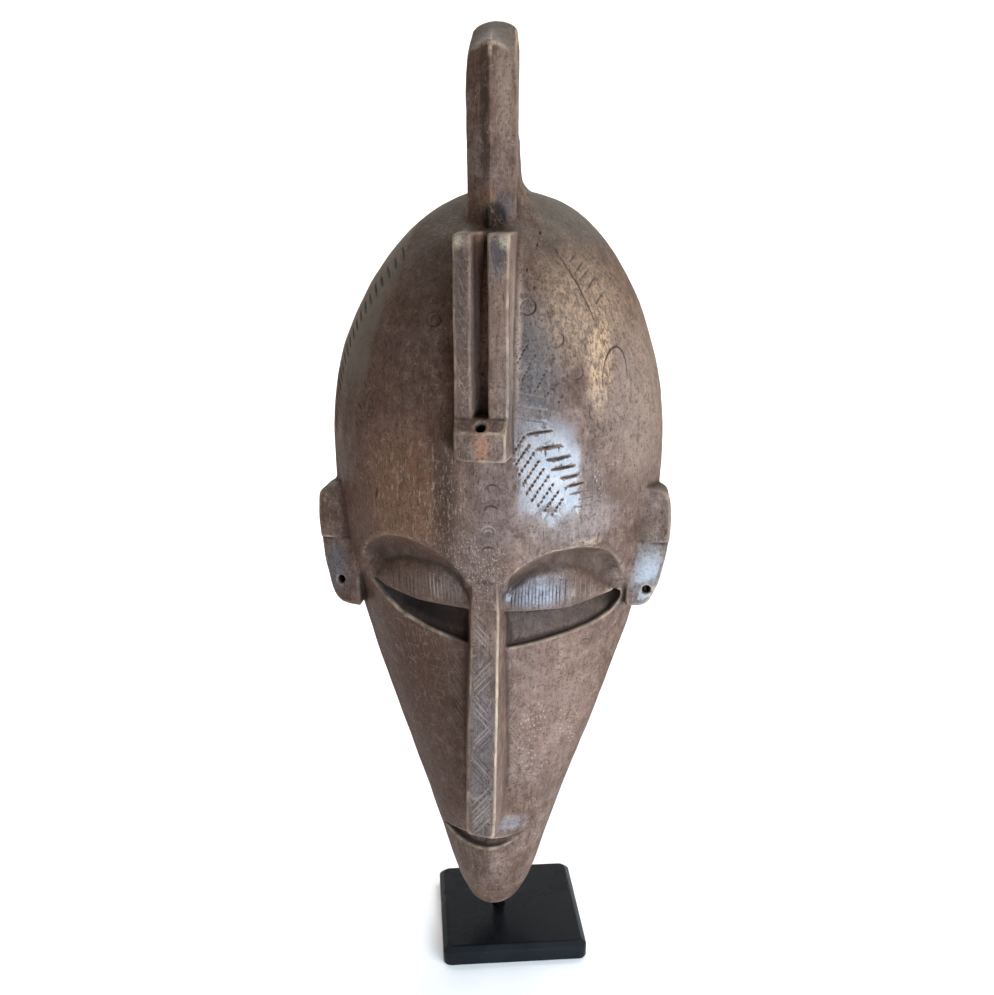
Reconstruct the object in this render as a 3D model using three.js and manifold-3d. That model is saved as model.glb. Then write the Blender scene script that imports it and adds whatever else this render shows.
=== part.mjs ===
// A carved wooden face mask with a tall crest, held upright by a steel rod on a square base.
// Millimetres, +Z up, +X to the viewer's right, the face looks along -Y.
// The origin is on the table under the rod.
import * as THREE from 'three';
import { mergeVertices } from 'three/addons/utils/BufferGeometryUtils.js';
import Module from 'manifold-3d';

const wasm = await Module();
wasm.setup();

const clearance = 0.3;

// Stand
const baseSize = 100;
const baseThickness = 12.8;
const baseChamfer = 4;
const baseCornerRadius = 6;
const baseEase = 0.6;
const baseTurn = THREE.MathUtils.degToRad(10);
const baseCentre = new THREE.Vector2(7.8, 1.6);
const rodRadius = 4;
const rodSocketFloor = 3;
const rodTop = 96;

// Head: an egg-shaped dome above the ears, a long wedge of a face below them, open behind
const domeTop = 519;
const widest = 365;
const domeHeight = domeTop - widest;
const headHalfWidth = 105.1;
const domeFront = -94;
const domeAxis = -8;
const domeLean = 26;
const rimBack = 27;
const rimLean = 9;
const rimNarrowing = 0.06;
const wall = 15;
const hollowFloor = 122;

// One station for each height of the face: how wide it is, where it is widest, how far forward
// it stands, where its back edge is, and how round its section is (2 is an ellipse).
const faceStations = [
  { z: 330, halfWidth: 104, side: -8, front: -94, back: rimBack, roundness: 2 },
  { z: 300, halfWidth: 100, side: -9, front: -92, back: rimBack, roundness: 2 },
  { z: 270, halfWidth: 93.3, side: -10, front: -84.5, back: rimBack, roundness: 1.95 },
  { z: 245, halfWidth: 86.5, side: -13, front: -79, back: rimBack, roundness: 1.85 },
  { z: 205, halfWidth: 73.5, side: -19, front: -76, back: rimBack, roundness: 1.75 },
  { z: 164, halfWidth: 58.5, side: -25, front: -72, back: rimBack, roundness: 1.65 },
  { z: 123, halfWidth: 44, side: -29, front: -68.5, back: rimBack, roundness: 1.6 },
  { z: 97, halfWidth: 35.2, side: -31, front: -66.5, back: 25, roundness: 1.6 },
  { z: 73, halfWidth: 27.8, side: -31, front: -62, back: 23, roundness: 1.75 },
  { z: 58, halfWidth: 21.8, side: -30, front: -57, back: 21, roundness: 1.9 },
  { z: 48.5, halfWidth: 14.8, side: -28, front: -50.5, back: 18, roundness: 2 },
  { z: 44, halfWidth: 7, side: -25, front: -41, back: 14, roundness: 2 },
];

// Face. The left eye sits a little higher than the right one. Lines run from the nose outwards.
const eyes = [
  {
    side: 1,
    brow: [[8.5, 291.5], [16, 299.6], [26.5, 307.6], [38, 312.5], [50, 314.1],
      [60.5, 313.4], [69.5, 310.1], [76, 303.8], [81, 293], [83.5, 281]],
    lid: [[12, 284], [19, 290], [26.5, 295.7], [35.5, 298.5], [49, 298.3],
      [59.5, 294.2], [67, 287.4], [75, 280.5]],
    lidEdge: [[10, 273], [22, 272.2], [49, 272.4], [61, 275], [70.5, 277], [76, 278]],
    cheekEdge: [[10, 247.5], [16, 248.4], [34, 252.2], [49, 255.3], [64.5, 259.5],
      [74, 264], [80, 270], [81.5, 277.4]],
  },
  {
    side: -1,
    brow: [[8.5, 292.5], [12.5, 298.5], [21.5, 307.5], [33, 314.3], [45, 318.2],
      [56, 318.5], [66, 315.8], [74, 310], [78.5, 302], [80, 289]],
    lid: [[11.5, 285], [17, 291.4], [25, 297.5], [32.5, 300.3], [42.5, 301.8],
      [52.5, 301.2], [63.5, 295.4], [71, 286.5]],
    lidEdge: [[10, 274], [28, 275], [44, 275.4], [56, 278], [64, 280], [71, 283.4]],
    cheekEdge: [[10, 250], [15, 251.4], [27, 255.2], [37, 258.3], [54, 265.9],
      [66, 275], [73.5, 283.6]],
  },
];
const browStep = 8;
const lidStep = 3;
const lidHem = 1.5;
const eyeSlit = 3;
const sillDepth = 14;
const slitLength = 30;
const noseStations = [
  { z: 292, front: -91, halfWidth: 8, draft: 2.5 },
  { z: 270, front: -92.5, halfWidth: 8.1, draft: 4 },
  { z: 221, front: -97.5, halfWidth: 8.8, draft: 3.6 },
  { z: 145, front: -105, halfWidth: 9, draft: 2.8 },
  { z: 133, front: -106.3, halfWidth: 8.3, draft: 2.8 },
];
const mouthDepth = 4;
const mouthOutline = [
  [-32, 105.5], [-24, 102.8], [-14, 101], [-4, 100.9], [5, 102], [13, 104.5],
  [22, 109.5], [12, 108.2], [4, 108.5], [-4, 109.5], [-14, 109.5], [-24, 107.9],
];

// Ears. The left one slopes down outwards along its top, and hangs lower.
const earRight = [
  [84, 337], [97, 342], [106, 339.5], [109.5, 333], [110, 311],
  [105.8, 288], [101.5, 275], [96, 268], [84, 267],
];
const earLeft = [
  [84, 336], [97, 340.5], [106, 337], [109.5, 331], [110, 311],
  [106.5, 286], [103, 270.5], [96.5, 262.5], [84, 260],
];
const earMiddle = { x: 92, z: 301 };
const earFront = -46;
const earBack = -22;
const earBevel = 2;
const earHole = { x: 96.5, z: 277.5, radius: 2.6 };

// Crest: a slotted post down the forehead, and a tall rounded fin behind it
const postBottom = 370.8;
const postLedge = 387.5;
const postShoulder = 394.5;
const postTop = 494.3;
const postFront = -105;
const postFootFront = -112;
const postSections = [
  { z: postTop, front: postFront, halfWidth: 15.4, back: -46, flare: 0.8 },
  { z: postShoulder, front: postFront, halfWidth: 15, back: -76, flare: 2.6 },
  { z: postLedge, front: postFootFront, halfWidth: 14.7, back: -80, flare: 3 },
  { z: postBottom, front: postFootFront, halfWidth: 14.5, back: -84, flare: 3.4 },
];
const slotLeft = -5.5;
const slotRight = 3.8;
const slotTaper = 3.2;
const slotSections = [{ z: postTop + 5, back: -59 }, { z: 440, back: -80 }, { z: postShoulder, back: -89 }];
const pegHole = { x: -0.1, y: -109.5, z: 391, radius: 3.1, depth: 13, steepness: 0.61 };
const finKeel = -55;
const finShoulder = -46.5;
const finPlane = { x: 25, y: finShoulder + 6 };
const finFoot = 480;
const finProfile = [
  { y: -60, top: 598, halfWidth: 14.8 },
  { y: -44, top: 603.5, halfWidth: 14.5 },
  { y: -28, top: 609, halfWidth: 13.8 },
  { y: -14, top: 611, halfWidth: 13.1 },
  { y: -4, top: 609, halfWidth: 12.3 },
  { y: 4, top: 601, halfWidth: 10.8 },
  { y: 9, top: 586, halfWidth: 8 },
  { y: 11.5, top: 566, halfWidth: 5 },
];
// How far the fin's top has dropped at each share of its half width, in front and at its highest.
const finArch = [
  { share: 1, front: 24, crown: 20 },
  { share: 0.97, front: 15, crown: 11.5 },
  { share: 0.88, front: 10.5, crown: 6 },
  { share: 0.72, front: 7.5, crown: 2.7 },
  { share: 0.5, front: 4.6, crown: 1 },
  { share: 0.25, front: 2, crown: 0.2 },
  { share: 0, front: 0, crown: 0 },
];
const finCrown = -28;
const spreadHalfWidth = 13.4;
const spreadSections = [
  { z: 548, flare: 0 },
  { z: 533, flare: 0.5 },
  { z: 523, flare: 1.8 },
  { z: 515, flare: 4.8 },
  { z: 508, flare: 8.8 },
  { z: 499, flare: 14.5 },
];
const spreadFront = finShoulder + 3;
const spreadBack = 4;

const lerp = THREE.MathUtils.lerp;

// A closed mesh from rings of equal length, each end filled by a fan about its middle.
function loft(rings) {
  const count = rings[0].length;
  const positions = [];
  for (const ring of rings) for (const p of ring) positions.push(p.x, p.y, p.z);
  const index = [];
  for (let r = 0; r + 1 < rings.length; r++) {
    for (let i = 0; i < count; i++) {
      const a = r * count + i;
      const b = r * count + ((i + 1) % count);
      index.push(a, b, b + count, a, b + count, a + count);
    }
  }
  const ends = [
    { ring: rings[0], start: 0, flip: true },
    { ring: rings.at(-1), start: (rings.length - 1) * count, flip: false },
  ];
  for (const { ring, start, flip } of ends) {
    const middle = new THREE.Vector3();
    for (const p of ring) middle.addScaledVector(p, 1 / count);
    const centre = positions.length / 3;
    positions.push(middle.x, middle.y, middle.z);
    for (let i = 0; i < count; i++) {
      const a = start + i;
      const b = start + ((i + 1) % count);
      index.push(...(flip ? [centre, b, a] : [centre, a, b]));
    }
  }
  const geometry = new THREE.BufferGeometry();
  geometry.setAttribute('position', new THREE.Float32BufferAttribute(positions, 3));
  geometry.setIndex(index);
  return geometry;
}

// A solid for joining and cutting, turned so that its faces point out.
function solid(geometry) {
  const bare = geometry.clone();
  bare.deleteAttribute('normal');
  bare.deleteAttribute('uv');
  const merged = mergeVertices(bare, 1e-4);
  const p = merged.attributes.position.array;
  const t = merged.index.array;
  let volume = 0;
  for (let i = 0; i < t.length; i += 3) {
    const [a, b, c] = [t[i] * 3, t[i + 1] * 3, t[i + 2] * 3];
    volume += p[a] * (p[b + 1] * p[c + 2] - p[b + 2] * p[c + 1])
      - p[a + 1] * (p[b] * p[c + 2] - p[b + 2] * p[c])
      + p[a + 2] * (p[b] * p[c + 1] - p[b + 1] * p[c]);
  }
  const triVerts = new Uint32Array(t);
  if (volume < 0) {
    for (let i = 0; i < t.length; i += 3) [triVerts[i], triVerts[i + 1]] = [t[i + 1], t[i]];
  }
  return new wasm.Manifold(new wasm.Mesh({ numProp: 3, vertProperties: new Float32Array(p), triVerts }));
}

function toGeometry(manifold) {
  const mesh = manifold.getMesh();
  const geometry = new THREE.BufferGeometry();
  geometry.setAttribute('position', new THREE.BufferAttribute(new Float32Array(mesh.vertProperties), 3));
  geometry.setIndex(new THREE.BufferAttribute(new Uint32Array(mesh.triVerts), 1));
  return geometry;
}

// A frontal outline of [x, z] points, pushed through the head from one depth to another.
function frontalPrism(outline, fromY, toY) {
  const shape = new THREE.Shape(outline.map(([x, z]) => new THREE.Vector2(x, z)));
  const geometry = new THREE.ExtrudeGeometry(shape, { depth: toY - fromY, bevelEnabled: false });
  geometry.rotateX(Math.PI / 2);
  geometry.translate(0, toY, 0);
  return solid(geometry);
}

function mirrored(outline) {
  return outline.map(([x, z]) => [-x, z]).reverse();
}

function cylinderBetween(from, to, radius, sides) {
  const axis = new THREE.Vector3().subVectors(to, from);
  const geometry = new THREE.CylinderGeometry(radius, radius, axis.length(), sides);
  const up = new THREE.Vector3(0, 1, 0);
  geometry.applyQuaternion(new THREE.Quaternion().setFromUnitVectors(up, axis.normalize()));
  const middle = from.clone().add(to).multiplyScalar(0.5);
  geometry.translate(middle.x, middle.y, middle.z);
  return solid(geometry);
}

// The head's section at a height, between two stations by a Catmull-Rom curve.
const domeSteps = [0.955, 0.85, 0.7, 0.5, 0.25, 0].map((share) => {
  const swell = Math.sqrt(1 - share * share);
  const side = domeAxis + domeLean * share ** 3;
  return {
    z: widest + domeHeight * share,
    halfWidth: headHalfWidth * swell,
    side,
    front: lerp(domeAxis, domeFront, swell),
    back: lerp(side, rimBack + rimLean * share, swell ** 0.7),
    roundness: 2,
  };
});
const stations = [...domeSteps, ...faceStations];

function catmullRom(p0, p1, p2, p3, t) {
  const a = 2 * p1;
  const b = p2 - p0;
  const c = 2 * p0 - 5 * p1 + 4 * p2 - p3;
  const d = -p0 + 3 * p1 - 3 * p2 + p3;
  return 0.5 * (a + b * t + c * t * t + d * t * t * t);
}

function stationBetween(index, t) {
  const at = (i) => stations[THREE.MathUtils.clamp(i, 0, stations.length - 1)];
  const section = {};
  for (const key of Object.keys(stations[0])) {
    const near = [-1, 0, 1, 2].map((step) => at(index + step)[key]);
    section[key] = catmullRom(...near, t);
  }
  return section;
}

function sectionAt(z) {
  const below = stations.findIndex((section) => section.z <= z);
  const [upper, lower] = [stations[below - 1], stations[below]];
  return { ...stationBetween(below - 1, (upper.z - z) / (upper.z - lower.z)), z };
}

// How far forward the carved surface stands at a point of the face.
function skinDepth(x, z) {
  const { halfWidth, side, front, roundness } = sectionAt(z);
  const across = Math.min(Math.abs(x) / halfWidth, 1);
  return side + (front - side) * (1 - across ** roundness) ** (1 / roundness);
}

// One ring round the head, set in from the carved surface by inset; the front is a superellipse.
function headRing(section, inset, frontPoints, backY) {
  const halfWidth = Math.max(section.halfWidth - inset, 0.8);
  const depth = Math.max(section.side - section.front - inset, 0.8);
  const power = 2 / section.roundness;
  const ring = [];
  for (let i = 0; i <= frontPoints; i++) {
    const angle = (i / frontPoints) * Math.PI;
    const c = Math.cos(angle);
    const x = -Math.sign(c) * halfWidth * Math.pow(Math.abs(c), power);
    const y = section.side - depth * Math.pow(Math.sin(angle), power);
    ring.push(new THREE.Vector3(x, y, section.z));
  }
  for (const share of [0.5, 1]) {
    const x = halfWidth * (1 - rimNarrowing * share * share);
    ring.push(new THREE.Vector3(x, lerp(section.side, backY, share), section.z));
  }
  for (const share of [1, 0.5]) {
    const x = -halfWidth * (1 - rimNarrowing * share * share);
    ring.push(new THREE.Vector3(x, lerp(section.side, backY, share), section.z));
  }
  return ring;
}

function headSections(stepsBetween) {
  const sections = [];
  for (let i = 0; i + 1 < stations.length; i++) {
    for (let s = 0; s < stepsBetween; s++) sections.push(stationBetween(i, s / stepsBetween));
  }
  sections.push(stations.at(-1));
  return sections;
}

// Setting the head in by some depth lowers its dome by the same amount.
function lowered(section, inset) {
  if (section.z <= widest) return section;
  return { ...section, z: widest + (section.z - widest) * (1 - inset / domeHeight) };
}

// The whole head as a solid block, set in by inset: the carved surface, or a recess floor.
function headBlock(inset, frontPoints, stepsBetween) {
  const crown = {
    ...stations[0], z: domeTop - 1, halfWidth: 13, front: domeAxis - 11, back: domeAxis + domeLean,
  };
  const sections = [crown, ...headSections(stepsBetween)];
  return solid(loft(sections.map((section) => (
    headRing(lowered(section, inset), inset, frontPoints, section.back)
  ))));
}

// The hollow: the same form set in by the wall, open through the back.
function hollow() {
  const openBack = rimBack + rimLean + 20;
  const sections = headSections(1).filter((section) => section.z > hollowFloor);
  sections.push(sectionAt(hollowFloor));
  return solid(loft(sections.map((section) => headRing(lowered(section, wall), wall, 20, openBack))));
}

// The recess and the lid stop a little below the lid's edge, where the eye slot then trims them.
function aboveSlot(arc, { side, lidEdge }) {
  const end = arc.at(-1)[0];
  const hem = lidEdge.filter(([x]) => x <= end).reverse().map(([x, z]) => [x, z - lidHem]);
  const outline = [...arc, ...hem];
  return frontalPrism(side > 0 ? outline : mirrored(outline), -130, -20);
}

function eyeRecess(eye) {
  return aboveSlot(eye.brow, eye).subtract(headBlock(browStep, 28, 1));
}

function eyelid(eye) {
  return aboveSlot(eye.lid, eye).intersect(headBlock(lidStep, 28, 1));
}

// The height of a line of [x, z] points at some x.
function heightAt(line, x) {
  const next = THREE.MathUtils.clamp(line.findIndex((p) => p[0] >= x), 1, line.length - 1);
  const [a, b] = [line[next - 1], line[next]];
  return lerp(a[1], b[1], Math.min((x - a[0]) / (b[0] - a[0]), 1));
}

// The eye slot is full height in front; behind the cheek its sill rises to a narrow slit.
function eyeSlot({ side, lidEdge, cheekEdge }) {
  const inFront = -125;
  const corner = cheekEdge.at(-1);
  const columns = [...lidEdge.map(([x, top]) => ({ x, top })), { x: corner[0], top: corner[1] + 0.6 }];
  return solid(loft(columns.map(({ x, top }) => {
    const low = heightAt(cheekEdge, x);
    const slitLow = Math.min(Math.max(low, top - eyeSlit), top - 0.5);
    const skin = skinDepth(x, low);
    const sill = skin + sillDepth;
    const behind = sill + slitLength;
    return [[inFront, low], [skin, low], [sill, slitLow], [behind, slitLow], [behind, top], [inFront, top]]
      .map(([y, z]) => new THREE.Vector3(side * x, y, z));
  })));
}

function nose() {
  const rings = noseStations.map(({ z, front, halfWidth, draft }) => {
    const back = front + 34;
    const foot = front + 24;
    return [
      new THREE.Vector3(-halfWidth, front, z),
      new THREE.Vector3(halfWidth, front, z),
      new THREE.Vector3(halfWidth + draft, foot, z),
      new THREE.Vector3(halfWidth, back, z),
      new THREE.Vector3(-halfWidth, back, z),
      new THREE.Vector3(-halfWidth - draft, foot, z),
    ];
  });
  return solid(loft(rings));
}

function mouth() {
  return frontalPrism(mouthOutline, -120, -20).subtract(headBlock(mouthDepth, 28, 1));
}

function ear(side) {
  const outline = side > 0 ? earRight : earLeft;
  const middle = new THREE.Vector3(side * earMiddle.x, 0, earMiddle.z);
  const ringAt = (y, bevel) => outline.map(([x, z]) => {
    const point = new THREE.Vector3(side * x, 0, z);
    const inward = new THREE.Vector3().subVectors(middle, point).normalize();
    return point.addScaledVector(inward, bevel).setY(y);
  });
  return solid(loft([
    ringAt(earFront, earBevel),
    ringAt(earFront + earBevel, 0),
    ringAt(earBack - earBevel, 0),
    ringAt(earBack, earBevel),
  ]));
}

function earHoles() {
  return [-1, 1].map((side) => cylinderBetween(
    new THREE.Vector3(side * earHole.x, earFront - 6, earHole.z),
    new THREE.Vector3(side * earHole.x, earBack + 6, earHole.z),
    earHole.radius, 12));
}

function crestPost() {
  return solid(loft(postSections.map(({ z, front, halfWidth, back, flare }) => [
    new THREE.Vector3(-halfWidth, front, z),
    new THREE.Vector3(halfWidth, front, z),
    new THREE.Vector3(halfWidth + flare, back, z),
    new THREE.Vector3(-halfWidth - flare, back, z),
  ])));
}

function crestSlot() {
  const inFront = postFootFront - 18;
  return solid(loft(slotSections.map(({ z, back }) => [
    new THREE.Vector3(slotLeft, inFront, z),
    new THREE.Vector3(slotRight, inFront, z),
    new THREE.Vector3(slotRight, back, z),
    new THREE.Vector3(slotLeft + slotTaper, back, z),
  ])));
}

// The hole for a peg runs back and down from the sloping ledge.
function pegBore() {
  const mouthPoint = new THREE.Vector3(pegHole.x, pegHole.y, pegHole.z);
  const inward = new THREE.Vector3(0, Math.cos(pegHole.steepness), -Math.sin(pegHole.steepness));
  return cylinderBetween(
    mouthPoint.clone().addScaledVector(inward, -8),
    mouthPoint.clone().addScaledVector(inward, pegHole.depth),
    pegHole.radius, 12);
}

// The fin's section is an arch; its front is planed to a shallow keel.
function crestFin() {
  const rings = finProfile.map(({ y, top, halfWidth }) => {
    const toCrown = THREE.MathUtils.clamp((y - finShoulder) / (finCrown - finShoulder), 0, 1);
    const right = finArch.map(({ share, front, crown }) => (
      new THREE.Vector3(share * halfWidth, y, top - lerp(front, crown, toCrown))
    ));
    const left = right.slice(0, -1).reverse().map((p) => new THREE.Vector3(-p.x, y, p.z));
    const foot = [halfWidth, -halfWidth].map((x) => new THREE.Vector3(x, y, finFoot));
    return [foot[0], ...right, ...left, foot[1]];
  });
  const inFront = finProfile[0].y - 30;
  const keelCut = new THREE.Shape([
    new THREE.Vector2(-finPlane.x, inFront),
    new THREE.Vector2(finPlane.x, inFront),
    new THREE.Vector2(finPlane.x, finPlane.y),
    new THREE.Vector2(0, finKeel),
    new THREE.Vector2(-finPlane.x, finPlane.y),
  ]);
  const cut = new THREE.ExtrudeGeometry(keelCut, { depth: 140, bevelEnabled: false });
  cut.translate(0, 0, postTop);
  return solid(loft(rings)).subtract(solid(cut));
}

// The foot of the fin spreads sideways into the dome in a hollow curve.
function finSpread() {
  const points = 16;
  const squareness = 0.6;
  const bent = (value) => Math.sign(value) * Math.abs(value) ** squareness;
  return solid(loft(spreadSections.map(({ z, flare }) => {
    const halfWidth = spreadHalfWidth + flare;
    const front = spreadFront + flare * 0.5;
    const back = spreadBack + flare * 0.2;
    return Array.from({ length: points }, (_, i) => {
      const angle = (i / points) * 2 * Math.PI;
      const along = 0.5 + 0.5 * bent(Math.sin(angle));
      return new THREE.Vector3(halfWidth * bent(Math.cos(angle)), lerp(front, back, along), z);
    });
  })));
}

function carveMask() {
  let mask = headBlock(0, 36, 2);
  for (const eye of eyes) mask = mask.subtract(eyeRecess(eye)).add(eyelid(eye));
  const raised = [nose(), crestPost(), finSpread(), crestFin(), ear(-1), ear(1)];
  for (const form of raised) mask = mask.add(form);
  mask = mask.subtract(hollow());
  for (const eye of eyes) mask = mask.subtract(eyeSlot(eye));
  const rodSocket = cylinderBetween(new THREE.Vector3(0, 0, 20),
    new THREE.Vector3(0, 0, rodTop + clearance), rodRadius + clearance, 16);
  for (const cut of [mouth(), crestSlot(), pegBore(), ...earHoles(), rodSocket]) mask = mask.subtract(cut);
  return toGeometry(mask);
}

function standBase() {
  const ring = (z, inset) => {
    const radius = baseCornerRadius - inset * 0.4;
    const reach = baseSize / 2 - inset - radius;
    const quarter = 4;
    const points = [];
    for (let corner = 0; corner < 4; corner++) {
      const outward = (corner + 0.5) * Math.PI / 2;
      const x = Math.sign(Math.cos(outward)) * reach;
      const y = Math.sign(Math.sin(outward)) * reach;
      for (let i = 0; i <= quarter; i++) {
        const angle = (corner + i / quarter) * Math.PI / 2;
        points.push(new THREE.Vector3(x + radius * Math.cos(angle), y + radius * Math.sin(angle), z));
      }
    }
    return points;
  };
  const plate = loft([
    ring(0, baseEase),
    ring(baseEase, 0),
    ring(baseThickness - baseChamfer, 0),
    ring(baseThickness, baseChamfer),
  ]);
  plate.rotateZ(baseTurn);
  plate.translate(baseCentre.x, baseCentre.y, 0);
  const socket = cylinderBetween(new THREE.Vector3(0, 0, rodSocketFloor),
    new THREE.Vector3(0, 0, baseThickness + 5), rodRadius + clearance, 16);
  return toGeometry(solid(plate).subtract(socket));
}

function standRod() {
  const bottom = rodSocketFloor + clearance;
  const geometry = new THREE.CylinderGeometry(rodRadius, rodRadius, rodTop - bottom, 16);
  geometry.rotateX(Math.PI / 2);
  geometry.translate(0, 0, (rodTop + bottom) / 2);
  return toGeometry(solid(geometry));
}

function piece(name, geometry, colour, roughness, metalness) {
  const material = new THREE.MeshStandardMaterial({ color: colour, roughness, metalness });
  const mesh = new THREE.Mesh(geometry, material);
  mesh.name = name;
  return mesh;
}

const model = new THREE.Group();
model.add(piece('mask', carveMask(), 0x5b463a, 0.55, 0));
model.add(piece('stand_rod', standRod(), 0x111214, 0.3, 0.4));
model.add(piece('stand_base', standBase(), 0x111214, 0.22, 0.4));

export default model;
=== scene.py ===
import math

import bmesh
import bpy
import numpy as np
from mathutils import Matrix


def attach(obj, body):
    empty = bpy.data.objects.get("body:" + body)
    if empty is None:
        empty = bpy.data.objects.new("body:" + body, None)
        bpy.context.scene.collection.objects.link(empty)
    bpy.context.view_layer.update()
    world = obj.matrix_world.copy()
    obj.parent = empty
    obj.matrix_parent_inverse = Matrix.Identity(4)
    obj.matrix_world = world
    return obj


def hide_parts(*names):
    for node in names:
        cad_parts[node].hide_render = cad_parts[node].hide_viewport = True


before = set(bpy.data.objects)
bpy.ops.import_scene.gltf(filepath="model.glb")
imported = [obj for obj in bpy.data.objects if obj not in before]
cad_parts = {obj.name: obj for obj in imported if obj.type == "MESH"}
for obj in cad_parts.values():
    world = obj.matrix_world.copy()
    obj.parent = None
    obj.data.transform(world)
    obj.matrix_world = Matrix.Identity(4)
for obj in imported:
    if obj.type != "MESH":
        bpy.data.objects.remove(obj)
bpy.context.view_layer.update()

import openvdb
from mathutils import Vector, kdtree
from mathutils.bvhtree import BVHTree


# The base: a square plate of steel with rounded corners and a broad chamfer round its top.
# It was sprayed with black gloss paint; a paler grey on its chamfer and sides is a painted highlight.
MM = 0.001
base_side = 100
base_thick = 12.8
base_chamfer = 4
base_corner = 6
base_turn = math.radians(10)
base_middle = (7.8, 1.6)
socket_radius = 4.3
socket_floor = 3
corner_steps = 12


def rounded_square(z, inset):
    """One ring of the plate at a height, drawn in from its side by inset."""
    radius = base_corner - 0.4 * inset
    reach = base_side / 2 - inset - radius
    ring = []
    for corner in range(4):
        outward = (corner + 0.5) * math.pi / 2
        for step in range(corner_steps + 1):
            angle = (corner + step / corner_steps) * math.pi / 2
            x = math.copysign(reach, math.cos(outward)) + radius * math.cos(angle)
            y = math.copysign(reach, math.sin(outward)) + radius * math.sin(angle)
            ring.append(
                (
                    base_middle[0] + x * math.cos(base_turn) - y * math.sin(base_turn),
                    base_middle[1] + x * math.sin(base_turn) + y * math.cos(base_turn),
                    z,
                )
            )
    return ring


def circle(z, radius, count):
    angles = [2 * math.pi * step / count for step in range(count)]
    return [(radius * math.cos(a), radius * math.sin(a), z) for a in angles]


def placed(name, data):
    """A new object in the scene."""
    thing = bpy.data.objects.new(name, data)
    bpy.context.scene.collection.objects.link(thing)
    return thing


def smooth_data(name, mesh):
    """A mesh that is done, shaded smooth."""
    data = bpy.data.meshes.new(name)
    mesh.to_mesh(data)
    mesh.free()
    data.shade_smooth()
    return data


def skin(name, rings):
    """A closed smooth piece from rings of points in millimetres, the first and last filled."""
    mesh = bmesh.new()
    rows = [[mesh.verts.new([v * MM for v in point]) for point in ring] for ring in rings]
    for lower, upper in zip(rows, rows[1:]):
        for i in range(len(lower)):
            j = (i + 1) % len(lower)
            mesh.faces.new((lower[i], lower[j], upper[j], upper[i]))
    mesh.faces.new(rows[0][::-1])
    mesh.faces.new(rows[-1])
    bmesh.ops.recalc_face_normals(mesh, faces=mesh.faces)
    data = smooth_data(name, mesh)
    data.set_sharp_from_angle(angle=math.radians(50))
    return placed(name, data)


plate_rings = [rounded_square(0, 0.6), rounded_square(0.2, 0.2), rounded_square(0.6, 0)]
for rise, inset in [(0, 0), (0.5, 0.12), (0.9, 0.45), (3.3, 3.0), (3.75, 3.5), (4.0, 4.2)]:
    plate_rings.append(rounded_square(base_thick - base_chamfer + rise, inset))
for inset in (4.7, 6.5):
    plate_rings.append(rounded_square(base_thick, inset))
hole_count = 4 * (corner_steps + 1)
turn_steps = round(math.degrees(base_turn) / 360 * hole_count)
hole_edge = [(base_thick, 1.6), (base_thick, 0.7), (base_thick, 0.3), (base_thick - 0.3, 0)]
for z, wider in hole_edge + [(socket_floor, 0)]:
    ring = circle(z, socket_radius + wider, hole_count)
    plate_rings.append([ring[(i + turn_steps) % hole_count] for i in range(hole_count)])
base = skin("display_base", plate_rings)


class Socket:
    """A socket of a material's nodes. Arithmetic on it adds Math nodes."""

    def __init__(self, tree, link=None):
        self.tree = tree
        self.link = link

    def fill(self, place, value):
        """Links a socket to a node's socket, or gives it a fixed value."""
        if isinstance(value, Socket):
            self.tree.links.new(value.link, place)
        else:
            place.default_value = value

    def node(self, kind, settings=None, output=None, **values):
        """Adds a node, sets it up, fills or links its sockets and gives one of its outputs."""
        node = self.tree.nodes.new(kind)
        for key, value in (settings or {}).items():
            setattr(node, key, value)
        for key, value in values.items():
            name = key.replace("_", " ")
            self.fill(next(s for s in node.inputs if s.enabled and s.name == name), value)
        out = node.outputs[output] if output else next(s for s in node.outputs if s.enabled)
        return Socket(self.tree, out)

    def parts(self):
        """The three components of a vector."""
        return [self.node("ShaderNodeSeparateXYZ", Vector=self, output=axis) for axis in "XYZ"]

    def math(self, operation, a, b=0.0):
        node = self.tree.nodes.new("ShaderNodeMath")
        node.operation = operation
        self.fill(node.inputs[0], a)
        self.fill(node.inputs[1], b)
        return Socket(self.tree, node.outputs[0])

    def __add__(self, other):
        return self.math("ADD", self, other)

    def __mul__(self, other):
        return self.math("MULTIPLY", self, other)

    def __sub__(self, other):
        return self.math("SUBTRACT", self, other)

    def __rsub__(self, other):
        return self.math("SUBTRACT", other, self)

    __radd__ = __add__
    __rmul__ = __mul__

    def step(self, low, high):
        """0 below low, 1 above high, and smooth between them."""
        smooth = {"interpolation_type": "SMOOTHSTEP"}
        return self.node("ShaderNodeMapRange", smooth, Value=self, From_Min=low, From_Max=high)

    def mix(self, factor, a, b):
        """Colour a turned towards colour b by factor."""
        settings = {"data_type": "RGBA", "clamp_factor": True}
        a, b = (v if isinstance(v, Socket) else (*v, 1) for v in (a, b))
        return self.node("ShaderNodeMix", settings, Factor=factor, A=a, B=b)

    def noise(self, place, scale, detail=3.0, roughness=0.55):
        values = {"Vector": place, "Scale": scale, "Detail": detail, "Roughness": roughness}
        return self.node("ShaderNodeTexNoise", **values)

    def stretched(self, place, scale, slant=0):
        """Coordinates scaled along each axis and turned, to draw a texture out into a grain."""
        turn = (0, math.radians(slant), 0)
        return self.node("ShaderNodeMapping", Vector=place, Rotation=turn, Scale=scale)


def new_material(name):
    """A material with a Principled shader, and the socket that its nodes start from."""
    material = bpy.data.materials.new(name)
    material.use_nodes = True
    shader = material.node_tree.nodes["Principled BSDF"]
    start = Socket(material.node_tree)
    place = start.node("ShaderNodeTexCoord", output="Object")
    return material, shader, start, place


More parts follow.
